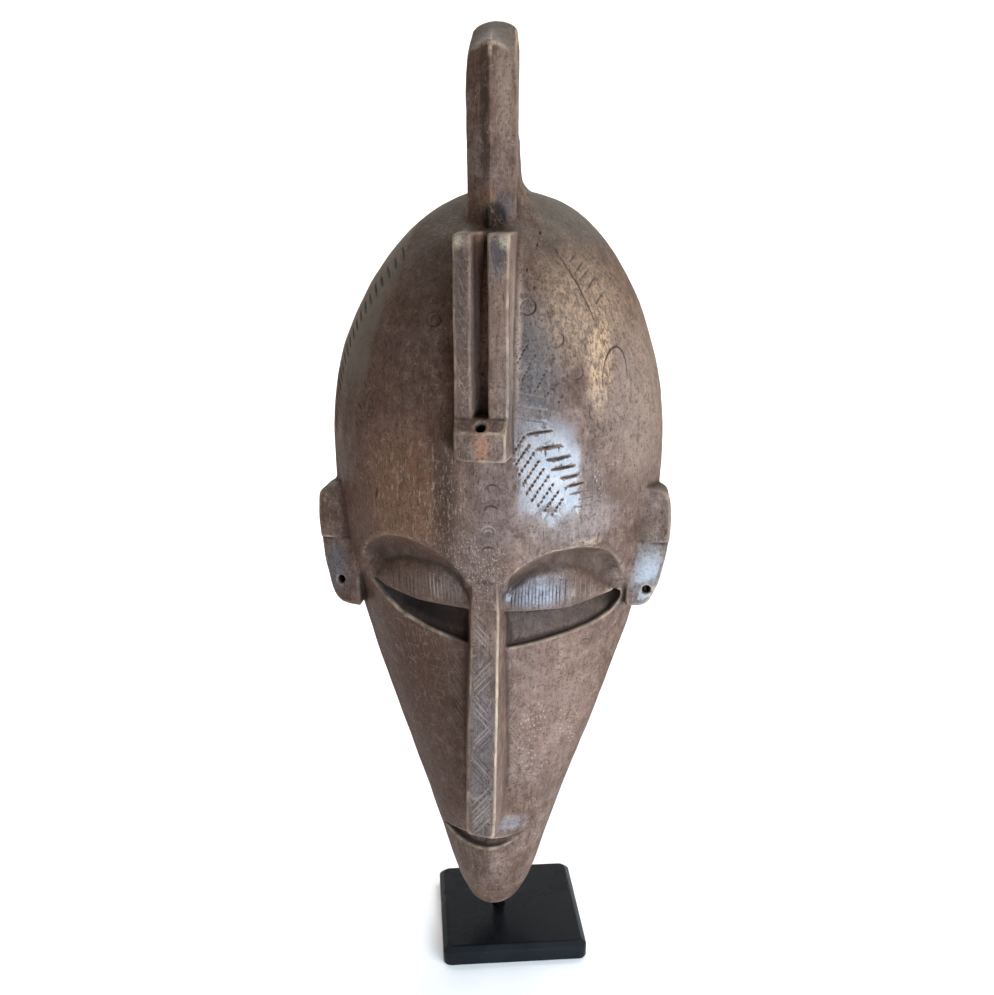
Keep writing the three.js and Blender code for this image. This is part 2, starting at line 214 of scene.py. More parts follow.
def feed(start, shader, name, value):
    start.tree.links.new(value.link, shader.inputs[name])


def black_gloss(name, dust):
    """Sprayed black paint: nearly black, faintly blue, with dust and rubbed streaks in its gloss, and a
    painted highlight that turns it paler grey below the plate's top.
    """
    material, shader, start, place = new_material(name)
    cloud = start.noise(place, 34.0).step(0.35, 0.7)
    specks = start.noise(place, 900.0, 2.0).step(0.66, 0.8)
    _, _, height = place.parts()
    sides = 1 - height.step(0.0122, 0.0127)
    black = (0.0038, 0.0046, 0.0060)
    highlight_grey = (0.0170, 0.0179, 0.0196)
    pale_dust = (0.06, 0.06, 0.062)
    # Painted highlight: below the height of the plate's top the black turns towards a paler grey.
    colour = start.mix(cloud * 0.2 + sides * 0.8, black, highlight_grey)
    colour = start.mix(specks * dust, colour, pale_dust)
    feed(start, shader, "Base Color", colour)
    feed(start, shader, "Roughness", cloud * 0.12 + specks * 0.2 + 0.24)
    orange_peel = start.noise(place, 420.0, 1.0)
    bump = start.node("ShaderNodeBump", Strength=0.06, Distance=0.0004, Height=orange_peel)
    feed(start, shader, "Normal", bump)
    shader.inputs["Specular IOR Level"].default_value = 0.04
    return material


base.data.materials.append(black_gloss("black_gloss_plate", 0.35))
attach(base, "root")
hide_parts("stand_base")


# The rod: round steel bar, painted with the base. It is pushed into the base's socket
# and up into a blind hole in the chin, where it carries the mask.
rod_radius = 4
rod_bottom = 3.3
rod_top = 96
rod_ease = 0.5
rod_sides = 48
rod_ends = [(rod_bottom, rod_ease), (rod_bottom + rod_ease, 0)]
rod_ends += [(rod_top - rod_ease, 0), (rod_top, rod_ease)]
rod = skin("display_rod", [circle(z, rod_radius - inset, rod_sides) for z, inset in rod_ends])
rod.data.materials.append(black_gloss("black_gloss_rod", 0.15))
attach(rod, "root")
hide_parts("stand_rod")


# The mask: one block of dense wood, roughed out with an adze and finished with a knife.
# The form is worked out as depths below the surface on a fine grid, in millimetres, so that
# every join and arris is a little rounded, as hand-cut wood is.
voxel = 1.25
grid_low = (-115.0, -117.5, 38.0)
grid_high = (115.0, 42.5, 616.0)
axes = [np.arange(low, high, voxel, dtype=np.float32) for low, high in zip(grid_low, grid_high)]

dome_top = 519
widest = 365
dome_height = dome_top - widest
head_half_width = 105.1
dome_front = -94
dome_axis = -8
dome_lean = 26
rim_back = 27
rim_lean = 9
rim_narrowing = 0.06
wall = 15
hollow_floor = 122

# Height, half width, depth of the widest place, depth of the front, and roundness
face_stations = [
    (44, 7, -25, -41, 2),
    (48.5, 14.8, -28, -50.5, 2),
    (58, 21.8, -30, -57, 1.9),
    (73, 27.8, -31, -62, 1.75),
    (97, 35.2, -31, -66.5, 1.6),
    (123, 44, -29, -68.5, 1.6),
    (164, 58.5, -25, -72, 1.65),
    (205, 73.5, -19, -76, 1.75),
    (245, 86.5, -13, -79, 1.85),
    (270, 93.3, -10, -84.5, 1.95),
    (300, 100, -9, -92, 2),
    (330, 104, -8, -94, 2),
    (widest, head_half_width, dome_axis, dome_front, 2),
    (widest + 38, head_half_width, dome_axis, dome_front, 2),
]
right_fullness = [(440, 1), (470, 1.01), (490, 1.035), (505, 1.075), (515, 1.1)]
left_fullness = [(425, 1), (455, 0.98), (490, 0.97), (515, 0.97)]
back_stations = [(44, 14), (48.5, 18), (58, 21), (73, 23), (97, 25), (123, rim_back)]


def grid_window(low, high):
    """The slices of the grid between two corners, and the coordinates along them."""
    cuts = [slice(*np.searchsorted(axis, pair)) for axis, pair in zip(axes, zip(low, high))]
    x = axes[0][cuts[0]][:, None, None]
    y = axes[1][cuts[1]][None, :, None]
    z = axes[2][cuts[2]][None, None, :]
    return tuple(cuts), x, y, z


def through(table, z):
    """A smooth curve through each column of a table of stations, the first being their heights."""
    heights, *columns = np.array(table, float).T
    i = np.clip(np.searchsorted(heights, z) - 1, 0, len(heights) - 2)
    span = heights[i + 1] - heights[i]
    t = np.clip((z - heights[i]) / span, 0, 1)
    curves = []
    for values in columns:
        slopes = np.gradient(values, heights)
        low = (1 + 2 * t) * (1 - t) ** 2 * values[i] + t * (1 - t) ** 2 * span * slopes[i]
        high = t * t * (3 - 2 * t) * values[i + 1] + t * t * (t - 1) * span * slopes[i + 1]
        curves.append((low + high).astype(np.float32))
    return curves


def straight(table, z):
    """Lines from point to point through each column of a table."""
    heights, *columns = np.array(table, float).T
    return [np.interp(z, heights, values).astype(np.float32) for values in columns]


def even(field):
    """The same surface, with values that are distances from it."""
    slope = np.gradient(field, voxel)
    return field / np.maximum(np.sqrt(sum(s * s for s in slope)), 1e-4)


def join(a, b, soft):
    """Both forms together, blended over a width."""
    near = np.maximum(soft - np.abs(a - b), 0) / soft
    return np.minimum(a, b) - near * near * soft / 4


def cut(a, b, soft):
    """The first form with the second taken out of it."""
    return -join(-a, b, soft)


def common(soft, *forms):
    """Where all the forms overlap."""
    whole = forms[0]
    for form in forms[1:]:
        whole = -join(-whole, -form, soft)
    return whole


def line_distance(line, x, z):
    """Distance to a line of x and z points."""
    nearest = np.full(np.broadcast(x, z).shape, 1e6, np.float32)
    for (ax, az), (bx, bz) in zip(line, line[1:]):
        ex, ez = bx - ax, bz - az
        along = np.clip(((x - ax) * ex + (z - az) * ez) / max(ex * ex + ez * ez, 1e-9), 0, 1)
        nearest = np.minimum(nearest, np.hypot(x - ax - along * ex, z - az - along * ez))
    return nearest


def outline_distance(outline, x, z):
    """Distance to an outline of x and z points, negative inside it."""
    closed = outline + outline[:1]
    nearest = line_distance(closed, x, z)
    inside = np.zeros(nearest.shape, bool)
    for (ax, az), (bx, bz) in zip(closed, closed[1:]):
        ex, ez = bx - ax, bz - az
        crosses = (az > z) != (bz > z)
        inside ^= crosses & (x < ax + (z - az) * ex / (ez if ez else 1e-9))
    return np.where(inside, -nearest, nearest)


def head_skin(x, y, z):
    """The egg of the dome above, the long wedge of the face below, without its open back."""
    share = np.clip((z - widest) / dome_height, 0, 1.2)
    swell = np.sqrt(np.maximum(1 - share * share, 0))
    lean = dome_lean * np.minimum(share, 1) ** 3
    half, middle, front, power = through(face_stations, z)
    side = middle + lean
    deep = middle - front + lean / np.maximum(swell, 0.2)
    dome_back = side + (rim_back + rim_lean * share - side) * swell**0.7
    back = np.where(z > widest, dome_back, through(back_stations, z)[0])
    behind = np.clip((y - side) / np.maximum(back - side, 1), 0, 1.5)
    fuller = np.where(x > 0, straight(right_fullness, z)[0], straight(left_fullness, z)[0])
    across = np.abs(x) / (half * fuller * (1 - rim_narrowing * behind * behind))
    forward = np.maximum(side - y, 0) / deep
    round_face = (across**power + forward**power) ** (1 / power)
    return even(np.where(z > widest, np.sqrt(across**2 + forward**2 + share**2), round_face) - 1), back


_, gx, gy, gz = grid_window(grid_low, grid_high)
head, rim = head_skin(gx, gy, gz)
chin_end = 43.6
rim_softness = 3
mask_field = common(rim_softness, head, gy - rim, np.broadcast_to(chin_end - gz, head.shape))

# Brows, lids and the slots of the eyes, the left eye a little higher than the right one.
# Each line runs from the nose outwards.
eyes = {
    1: {
        "brow": [(8.5, 291.5), (16, 299.6), (26.5, 307.6), (38, 312.5), (50, 314.1),
                 (60.5, 313.4), (69.5, 310.1), (76, 303.8), (81, 293), (83.5, 281)],
        "lid": [(9.5, 283), (19, 290), (26.5, 295.7), (35.5, 298.5), (49, 298.3),
                (59.5, 294.2), (67, 287.4), (76, 279.6)],
        "lid edge": [(10, 273), (22, 272.2), (49, 272.4), (61, 275), (70.5, 277), (76, 278)],
        "cheek edge": [(10, 247.5), (16, 248.4), (34, 252.2), (49, 255.3), (64.5, 259.5),
                       (74, 264), (80, 270), (81.5, 277.4)],
    },
    -1: {
        "brow": [(8.5, 292.5), (12.5, 298.5), (21.5, 307.5), (33, 314.3), (45, 318.2),
                 (56, 318.5), (66, 315.8), (74, 310), (78.5, 302), (80, 289)],
        "lid": [(9.5, 283.5), (17, 291.4), (25, 297.5), (32.5, 300.3), (42.5, 301.8),
                (52.5, 301.2), (63.5, 295.4), (71.5, 285.4)],
        "lid edge": [(10, 274), (28, 275), (44, 275.4), (56, 278), (64, 280), (71.5, 283.6)],
        "cheek edge": [(10, 250), (15, 251.4), (27, 255.2), (37, 258.3), (54, 265.9),
                       (66, 275), (73.5, 283.6)],
    },
}
brow_step = 8
brow_start, brow_fade = 7.5, 7
corner_start, corner_fade = 2, 16
lid_hem = 1.5
lid_step = 2.2
lid_fall = 4.3
brow_scoop = 10
eye_slit = 2.4
eye_corner = 4
sill_depth = 14
sill_ledge = 4.5
slot_inner_end = 10
slot_reach = 48


def smooth_line(points, steps=6):
    """A rounded line through a few points."""
    p = np.array([points[0], *points, points[-1]], float)
    curve = []
    for a, b, c, d in zip(p, p[1:], p[2:], p[3:]):
        for t in np.arange(steps) / steps:
            curve.append(0.5 * (2 * b + (c - a) * t + (2 * a - 5 * b + 4 * c - d) * t**2
                                + (3 * b - a - 3 * c + d) * t**3))
    return [tuple(q) for q in curve] + [points[-1]]


def height_along(line, x):
    """The height of a line at each x."""
    return np.interp(x, *np.array(line).T)


for side, eye in eyes.items():
    lows, highs = sorted((side * 4, side * 92)), (238, 324)
    cuts, x, y, z = grid_window((lows[0], -112, highs[0]), (lows[1], -18, highs[1]))
    solid, skin_depth = mask_field[cuts], head[cuts]
    x = np.abs(x)
    brow_line, lid_line = smooth_line(eye["brow"]), smooth_line(eye["lid"])
    hem = [(px, pz - lid_hem) for px, pz in eye["lid edge"][::-1]]
    brow = outline_distance(brow_line + hem, x, z)
    from_brow = np.clip(line_distance(brow_line, x, z) / brow_scoop, 0, 1)
    corner_x, corner_z = eye["cheek edge"][-1]
    from_corner = np.hypot(x - corner_x - 3, z - corner_z - 1)
    ends = np.clip((x - brow_start) / brow_fade, 0, 1)
    ends = ends * np.clip((from_corner - corner_start) / corner_fade, 0, 1) ** 0.7
    socket_depth = brow_step * (1 - (1 - from_brow) ** 2) * ends
    solid = cut(solid, common(1.2, brow, -(skin_depth + socket_depth)), 2)
    lid = outline_distance(lid_line + hem, x, z)
    low, high = height_along(eye["lid edge"], x), height_along(lid_line, x)
    up_lid = np.clip((z - low) / np.maximum(high - low, 4), 0, 1)
    lid_surface = skin_depth + (lid_step + lid_fall * up_lid**2) * (0.4 + 0.6 * ends)
    solid = join(solid, common(2, lid, lid_surface), 2)
    low = height_along(eye["cheek edge"], x)
    top = height_along(eye["lid edge"] + [(corner_x, corner_z + 0.6)], x)
    inward = np.clip((-skin_depth - sill_ledge) / (sill_depth - sill_ledge), 0, 1)
    sill = low + np.maximum(top - eye_slit - low, 0) * inward
    slot = common(1, sill - z, z - top, slot_inner_end - x, -skin_depth - slot_reach)
    slot = common(eye_corner, slot, x - corner_x)
    mask_field[cuts] = cut(solid, slot, 1.2)

# The fin, whose foot runs out into the dome, and the slotted post in front of it
fin_keel = -55
fin_shoulder = -46.5
fin_plane = (25, fin_shoulder + 6)
fin_crown = -28
fin_back = 12.5
fin_profile = [
    (-60, 594, 14.8), (-44, 602, 14.5), (-28, 609, 13.8), (-14, 611, 13.1),
    (-4, 609, 12.3), (4, 601, 10.8), (9, 586, 8), (11.5, 566, 5), (13, 545, 3),
]
fin_arch = [
    (0, 0, 0), (0.25, 2, 0.2), (0.5, 4.6, 1), (0.72, 7.5, 2.4),
    (0.88, 10, 4.8), (0.97, 14, 8.5), (1, 22, 15),
]
spread_half_width = 13.4
spread_left = 0.15
spread_front = -41
spread_blend = 7
spread_back = 4
spread_sections = [(499, 14.5), (508, 8.8), (515, 4.8), (523, 1.8), (533, 0.5), (548, 0)]


cuts, x, y, z = grid_window((-60, -112, 470), (60, 42, 616))
fin_height, fin_half = through(fin_profile, y)
fin_share = np.clip(np.abs(x) / fin_half, 0, 1)
to_crown = np.clip((y - fin_shoulder) / (fin_crown - fin_shoulder), 0, 1)
front_drop, crown_drop = straight(fin_arch, fin_share)
drop = front_drop * (1 - to_crown) + crown_drop * to_crown
fin_top = even(z - fin_height + drop)
slant = math.atan2(fin_plane[1] - fin_keel, fin_plane[0])
keel = (fin_keel - y) * math.cos(slant) + np.abs(x) * math.sin(slant)
fin = common(1.6, np.abs(x) - fin_half, fin_top, keel + 0 * z, y - fin_back)
flare = through(spread_sections, z)[0] * np.where(x > 0, 1, spread_left)
spread = common(8, np.abs(x) - spread_half_width - flare, spread_front - y + 0 * z, y - spread_back)
spread = common(3, spread, z - spread_sections[-1][0])
mask_field[cuts] = join(join(mask_field[cuts], spread, spread_blend), fin, 1.8)

post_top = 494.3
post_bottom = 370.8
post_behind = -30
slot_bottom = 394.5
foot_lift, foot_side, foot_width = 2.2, -4, 11
post_stations = [
    (post_bottom, -112, 14.5, -84, 3.4),
    (387.5, -112, 14.7, -80, 3),
    (slot_bottom, -105, 15, -76, 2.6),
    (post_top, -105, 15.4, -46, 0.8),
]
slot_left = -5.5
slot_right = 3.8
slot_taper = 3.2
slot_stations = [(slot_bottom, -89), (440, -80), (499.3, -59)]
peg_mouth = np.array((-0.1, -109.5, 391.0))
peg_steepness = 0.61
peg_depth = 13
peg_radius = 2.9


cuts, x, y, z = grid_window((-30, -117, 360), (30, -30, 505))
front, half, back, flare = straight(post_stations, z)
spread = half + flare * np.clip((y - front) / (back - front), 0, 1)
bottom = post_bottom + foot_lift * np.clip((foot_side - x) / foot_width, 0, 1) ** 2
post = common(1.4, np.abs(x) - spread, front - y, z - post_top, bottom - z, y - post_behind)
solid = join(mask_field[cuts], post, 1.6)
groove_back = straight(slot_stations, z)[0]
taper = slot_taper * np.clip((y - front) / (groove_back - front), 0, 1)
slot = common(1.2, slot_left + taper - x, x - slot_right, y - groove_back, slot_bottom - z)
solid = cut(solid, slot, 1.4)
peg_axis = np.array((0, math.cos(peg_steepness), -math.sin(peg_steepness)))
rel = [x - peg_mouth[0], y - peg_mouth[1], z - peg_mouth[2]]
along = rel[1] * peg_axis[1] + rel[2] * peg_axis[2]
off_axis = np.sqrt(np.maximum(rel[0] ** 2 + rel[1] ** 2 + rel[2] ** 2 - along**2, 0))
mask_field[cuts] = cut(solid, common(1, off_axis - peg_radius, along - peg_depth), 0.8)

# The nose, a long flat-fronted wedge that stands further out towards its tip
nose_top = 292
nose_tip = 132.5
nose_tip_slope = 0.16
nose_lean = [(nose_tip, -1.3), (145, -1.2), (270, 0.4)]
nose_stations = [
    (nose_tip, -106.3, 8.5, 2.8),
    (145, -105, 9, 2.8),
    (221, -97.5, 8.8, 3.6),
    (270, -92.5, 8.1, 4),
    (nose_top, -91, 8, 2.5),
]
nose_deep = 24
nose_root = 10
cuts, x, y, z = grid_window((-26, -116, 120), (26, -40, 305))
front, half, flare = straight(nose_stations, z)
spread = half + flare * np.clip((y - front) / nose_deep, 0, 1.2)
across = x - straight(nose_lean, z)[0]
nose_behind = y - front - nose_deep - nose_root
wedge = common(1.3, np.abs(across) - spread, front - y, z - nose_top, nose_behind)
nose = common(3.5, wedge, nose_tip - nose_tip_slope * across - z + 0 * wedge)
mask_field[cuts] = join(mask_field[cuts], nose, 1.6)

# The ears, each a thick plate with a pierced lobe, and the lower half turned outwards
ear_outlines = {
    1: [(84, 337), (97, 342), (106, 339.5), (109.5, 333), (110, 311),
        (105.8, 288), (101.5, 275), (96, 268), (84, 267)],
    -1: [(84, 336), (97, 340.5), (106, 337), (109.5, 331), (110, 311),
         (106.5, 286), (103, 270.5), (96.5, 262.5), (84, 260)],
}
ear_folds = {1: 308, -1: 305}
ear_front = -46
ear_back = -22
lobe_turn = 0.2
lobe_lean = 0.07
lobe_rise = 4
ear_hole = (96.5, 277.5)
ear_hole_radii = {1: 2.9, -1: 2.3}
for side, ear_outline in ear_outlines.items():
    lows = sorted((side * 78, side * 115))
    cuts, x, y, z = grid_window((lows[0], -56, 248), (lows[1], -10, 352))
    x = np.abs(x)
    fold = ear_folds[side]
    turned = ear_front + lobe_turn * (x - ear_hole[0]) + lobe_lean * (z - fold)
    face_y = np.where(z < fold, np.maximum(turned, ear_front - lobe_rise), ear_front)
    plate = outline_distance([ear_outline[0]] + smooth_line(ear_outline[1:]), x, z)
    ear = common(2.4, plate + 0 * y, face_y - y, y - ear_back)
    hole = np.hypot(x - ear_hole[0], z - ear_hole[1]) - ear_hole_radii[side]
    solid = join(mask_field[cuts], ear, 2)
    mask_field[cuts] = cut(solid, hole + 0 * y, 1)

# The mouth, the hollow behind the face, and the hole for the rod
mouth_outline = [
    (-32, 105.5), (-24, 102.8), (-14, 101), (-4, 100.9), (5, 102), (13, 104.5),
    (22, 109.5), (12, 108.2), (4, 108.5), (-4, 109.5), (-14, 109.5), (-24, 107.9),
]
mouth_depths = [(-30, 4.2), (0, 4), (8, 2.8), (14, 1.3), (20, 0.5)]
rod_hole_top = 96.3
hollow_softness = 6
cuts, x, y, z = grid_window((-42, -80, 88), (42, -20, 118))
opening = outline_distance(smooth_line(mouth_outline + mouth_outline[:1]), x, z)
opening = common(1, opening + 0 * y, -(head[cuts] + straight(mouth_depths, x)[0]))
mask_field[cuts] = cut(mask_field[cuts], opening, 1.4)
hollow = common(hollow_softness, head + wall, hollow_floor - gz + 0 * head)
mask_field = cut(mask_field, hollow, 3)
cuts, x, y, z = grid_window((-8, -8, 38), (8, 8, 100))
rod_hole = common(1, np.hypot(x, y) - socket_radius + 0 * z, z - rod_hole_top)
mask_field[cuts] = cut(mask_field[cuts], rod_hole, 0.8)


# The maker's hand: shallow unevenness left by the adze and the knife.
def unevenness(pitch, seed):
    """A smooth random swell over the grid, from a coarse lattice of seeded heights."""
    rng = np.random.default_rng(seed)
    counts = [int(math.ceil(len(axis) * voxel / pitch)) + 2 for axis in axes]
    swell = rng.uniform(-1, 1, counts).astype(np.float32)
    for direction, axis in enumerate(axes):
        place = (axis - axis[0]) / pitch
        cell = place.astype(int)
        t = place - cell
        t = t * t * (3 - 2 * t)
        shape = [1, 1, 1]
        shape[direction] = len(axis)
        t = t.reshape(shape)
        swell = (np.take(swell, cell, direction) * (1 - t)
                 + np.take(swell, cell + 1, direction) * t)
    return swell


adze_swell, adze_pitch = 0.42, 23
knife_swell, knife_pitch = 0.2, 9
mask_field += adze_swell * unevenness(adze_pitch, 5) + knife_swell * unevenness(knife_pitch, 6)


def blurred(field, reach):
    """The field averaged over a small cube, to tell an arris from a hollow."""
    for direction in range(3):
        total = np.cumsum(field, axis=direction, dtype=np.float64)
        width = 2 * reach + 1
        ahead = np.take(total, range(width, total.shape[direction]), direction)
        behind = np.take(total, range(0, total.shape[direction] - width), direction)
        pad = [(0, 0)] * 3
        pad[direction] = (reach + 1, reach)
        field = np.pad((ahead - behind) / width, pad, mode="edge").astype(np.float32)
    return field


deepest = 6.0
clipped = np.clip(mask_field, -deepest, deepest)
arris_field = blurred(clipped, 1) - clipped
volume = openvdb.FloatGrid()
volume.background = deepest
volume.copyFromArray(clipped)
points, _, quads = volume.convertToPolygons(isovalue=0.0, adaptivity=0.0)
points = points * voxel + np.array(grid_low, np.float32)


def mesh_of(points, faces, name):
    data = bpy.data.meshes.new(name)
    data.from_pydata((points * MM).tolist(), [], faces.tolist())
    return data


def decimated(data, ratio):
    """The mesh with flat stretches drawn with fewer faces, as triangles."""
    rough = placed("rough", data)
    modifier = rough.modifiers.new("fewer", "DECIMATE")
    modifier.ratio = ratio
    modifier.use_collapse_triangulate = True
    graph = bpy.context.evaluated_depsgraph_get()
    result = rough.evaluated_get(graph).to_mesh()
    co = np.zeros(len(result.vertices) * 3, np.float32)
    result.vertices.foreach_get("co", co)
    result.calc_loop_triangles()
    tris = np.zeros(len(result.loop_triangles) * 3, np.int32)
    result.loop_triangles.foreach_get("vertices", tris)
    rough.evaluated_get(graph).to_mesh_clear()
    bpy.data.objects.remove(rough)
    bpy.data.meshes.remove(data)
    return co.reshape(-1, 3) / MM, tris.reshape(-1, 3)


coarse_triangles = 31500
rough_mesh = mesh_of(points, quads, "rough")
points, faces = decimated(rough_mesh, coarse_triangles / (2 * len(quads)))


def sample(field, points):
    """The field's value at each point, between its eight nearest grid points."""
    place = (points - np.array(grid_low)) / voxel
    cell = np.clip(place.astype(int), 0, np.array(field.shape) - 2)
    t = place - cell
    total = 0
    for corner in np.ndindex(2, 2, 2):
        weight = np.prod(np.where(corner, t, 1 - t), axis=1)
        at = cell + corner
        total = total + weight * field[at[:, 0], at[:, 1], at[:, 2]]
    return total


def outward(points):
    """The direction straight out of the surface at each point."""
    reach = 0.8
    steps = reach * np.eye(3)
    slope = [sample(clipped, points + s) - sample(clipped, points - s) for s in steps]
    slope = np.stack(slope, 1)
    return slope / np.maximum(np.linalg.norm(slope, axis=1, keepdims=True), 1e-6)


# The carver's marks, each given by where it lies seen from the front, in millimetres.
# A mark is a run of knife cuts: how wide and deep they are, and whether wear has left
# them dark with old polish or pale with bare wood.
rng = np.random.default_rng(11)
mark_step = 0.35
hand_turn = 4
marks = []


def mark(line, width, depth, pale, taper=True):
    """A knife cut along a line of x and z points."""
    line = np.array(line, float)
    lengths = np.hypot(*np.diff(line, axis=0).T)
    total = lengths.sum()
    count = max(int(total / mark_step), 2)
    along = np.linspace(0, total, count)
    ends = np.append(0, np.cumsum(lengths))
    x = np.interp(along, ends, line[:, 0])
    z = np.interp(along, ends, line[:, 1])
    fade = np.sin(np.pi * (along / total * 0.9 + 0.05)) ** 0.6 if taper else np.ones(count)
    for px, pz, f in zip(x, z, fade):
        marks.append((px, pz, width * (0.5 + 0.5 * f), depth * f, pale))


def dash(x, z, angle, length, width, depth, pale):
    """One straight cut about a middle point; angle 0 runs right, 90 runs up."""
    a = math.radians(angle + rng.uniform(-hand_turn, hand_turn))
    reach = length / 2 * rng.uniform(0.85, 1.1)
    dx, dz = reach * math.cos(a), reach * math.sin(a)
    mark([(x - dx, z - dz), (x + dx, z + dz)], width, depth * rng.uniform(0.8, 1.1), pale)


def row(start, end, spacing, *cut_shape):
    """Dashes or dots at even steps from start to end."""
    length = math.dist(start, end)
    count = max(int(length / spacing), 1)
    slope = math.degrees(math.atan2(end[1] - start[1], end[0] - start[0]))
    for i in range(count + 1):
        t = i / count
        x = start[0] + (end[0] - start[0]) * t + rng.uniform(-0.15, 0.15)
        z = start[1] + (end[1] - start[1]) * t + rng.uniform(-0.15, 0.15)
        dash(x, z, slope, *cut_shape)


def arc(x, z, half_width, height, width, depth, pale, start=0, end=180):
    angles = np.radians(np.linspace(start, end, 14))
    line = [(x + half_width * math.cos(a), z + height * math.sin(a)) for a in angles]
    mark(line, width, depth, pale, taper=end - start < 360)


# Ladder of cuts down the dome's left edge, and a broken one inside it
ladder_inset, ladder_bend = 0.935, 3.6
for z in np.arange(376, 481, 5.2):
    share = (z - widest) / dome_height
    dome_half_width = head_half_width * math.sqrt(1 - share**2)
    x = -dome_half_width * (ladder_inset - 0.5 * share**ladder_bend)
    dash(x, z, -62, 7.2, 1.0, 0.85, 0)
for x, z in [(-59.7, 431), (-67.5, 418), (-72.8, 405.9), (-77.2, 393.6), (-79.5, 382.5)]:
    dash(x, z, -58, 4, 0.7, 0.45, 0)
    dash(x + 3.4, z + 1.4, -58, 3.4, 0.7, 0.4, 0)

# Punched rings, and the arch on the right of the dome
for x, z, radius, depth in [(-29.4, 445.7, 3.5, 0.5), (23.5, 453.4, 4.3, 0.7),
                            (39.9, 435.2, 4.1, 0.5), (51.3, 416.6, 3.8, 0.35)]:
    arc(x, z, radius, radius, 0.7, depth, 0, -130, 70)
    arc(x, z, radius, radius, 0.6, 0.8 * depth, 0.7, 75, 225)
arc(-77.9, 359.1, 2.1, 5, 0.6, 0.4, 0.3, 0, 360)
arc(73.4, 411, 7.2, 18.5, 0.7, 0.55, 0, -10, 190)
arc(73.4, 409, 6.8, 13, 0.5, 0.25, 0.2, 200, 340)
arc(62, 395, 2.6, 5.5, 0.5, 0.4, 0, 60, 300)
dash(62.4, 395.5, 88, 7, 1.3, 0.15, 1)

# Gashes one under another down the right of the forehead
for x0, x1, z in [(24.2, 38.6, 384.3), (29.5, 44.5, 375.6), (35.8, 49.2, 369.3), (38.6, 52.1, 363.3),
                  (43.9, 54.7, 358), (48, 57.6, 352.9), (49.6, 61.3, 348), (54.6, 63.4, 344),
                  (52.2, 62, 339.3)]:
    faint = 0.55 if z < 350 else 1
    bow = rng.uniform(-0.5, 0.5)
    mark([(x0, z - 0.9), ((x0 + x1) / 2, z - 0.2 + bow), (x1, z + 0.7)], 0.8 * faint, 0.8 * faint, 0)

# Stitched lines beside and below the post
for i in range(9):
    t = i / 8
    top = (22.6 + 22.3 * t, 381.6 - 37.5 * t)
    run = 0.75 + 0.45 * math.sin(math.pi * t)
    row(top, (top[0] - 7.4 * run, top[1] - 11.2 * run), 2.4, 1.7, 0.7, 0.8, 0)
for a, b in [((23.3, 432.5), (18.6, 423.5)), ((28, 427), (21.4, 414)), ((34.8, 418.5), (28.6, 407.5)),
             ((40, 410.5), (34.2, 404.5)), ((44.9, 407), (42, 401))]:
    row(a, b, 2.4, 1.7, 0.65, 0.55, 0)
for z in (400, 393.4, 407):
    mark([(19.4, z), (27, z - 1.9), (35.6, z - 3.6)], 0.6, 0.3, 0.7)
for x, z in [(64.3, 359), (62.5, 356.3), (65.3, 356), (63.7, 353.3), (67, 351.5), (65.2, 348.8),
             (68.5, 347), (66.7, 344)]:
    dash(x, z, 70, 1.4, 0.7, 0.6, 0)

# The feather cut into the right shoulder of the dome
mark([(35.5, 486), (43.2, 476), (51, 464.4), (58.2, 450.5), (63, 439.5)], 0.75, 0.5, 0)
for x0, z0, x1, z1 in [(45.4, 477, 48.8, 481), (49.1, 471, 53.2, 477), (52.6, 467.6, 56.4, 472.5),
                       (56.2, 462, 59.8, 467.5), (61, 453.1, 65.6, 460)]:
    mark([(x0, z0), (x1, z1)], 0.8, 0.55, 0.1)
for t in np.linspace(0, 1, 9):
    x, z = 33.5 + 15 * t, 481 - 21 * t
    mark([(x - 8.5, z + 5.5), (x - 4, z + 3), (x, z - 1)], 0.42, 0.3, 0.8)
for x, z, length in [(28.3, 493, 2), (27.1, 486.1, 3.6), (22, 473.3, 1.6), (26.5, 463.5, 2.4),
                     (69.3, 466.4, 1.8), (66.3, 470, 1.5), (-66.3, 343, 7)]:
    dash(x, z, 86, length, 0.8, 0.9, 0)
for i in range(26):
    x, z = rng.normal(54, 10), rng.normal(455, 15)
    angle = rng.choice([58, -48]) + rng.uniform(-12, 12)
    dash(x, z, angle, rng.uniform(2, 5), 0.4, 0.28, rng.choice([0, 1]))
mark([(85.9, 373.6), (91.9, 360.4), (97.3, 368.9)], 0.4, 0.25, 1)
mark([(86.5, 366), (91, 354.5), (96, 362)], 0.4, 0.25, 1)
mark([(-34.2, 399.1), (-27, 401), (-20.5, 401.8)], 0.36, 0.15, 1)

# Arches down the middle of the forehead, one on the chin and some on the cheeks
for x, z, radius, pale in [(5, 350.5, 4.3, 0), (4, 338, 4.2, 0), (2.8, 325.5, 4.3, 1), (2.8, 325, 2.1, 1),
                           (2.5, 313, 4.2, 0)]:
    arc(x, z, radius, radius * 0.85, 0.75, 0.45, pale)
arc(0, 88.5, 3.6, 3.2, 0.5, 0.4, 0.4)
arc(59.6, 244.5, 3.2, 3, 0.5, 0.5, 0)
for x, z, radius in [(70.2, 241, 2.4), (55.6, 222, 2.2), (51.4, 209.5, 2.2), (-57.5, 256, 3.2),
                     (-49.5, 240, 2.4), (-50.5, 229, 3.2), (-36.8, 169, 2.6)]:
    arc(x, z, radius, radius * 0.8, 0.42, 0.35, 1)
for x, z, angle in [(59, 238, 48), (61.5, 237, 62), (-47.5, 222.5, -40), (-37.5, 186, -62)]:
    dash(x, z, angle, 3.4, 0.42, 0.3, 1)
for z in (236, 230.5, 225, 219.5, 214, 208.5):
    mark([(-38 + (230 - z) * 0.09, z), (-27, z - 0.8)], 0.42, 0.2, 0.8)

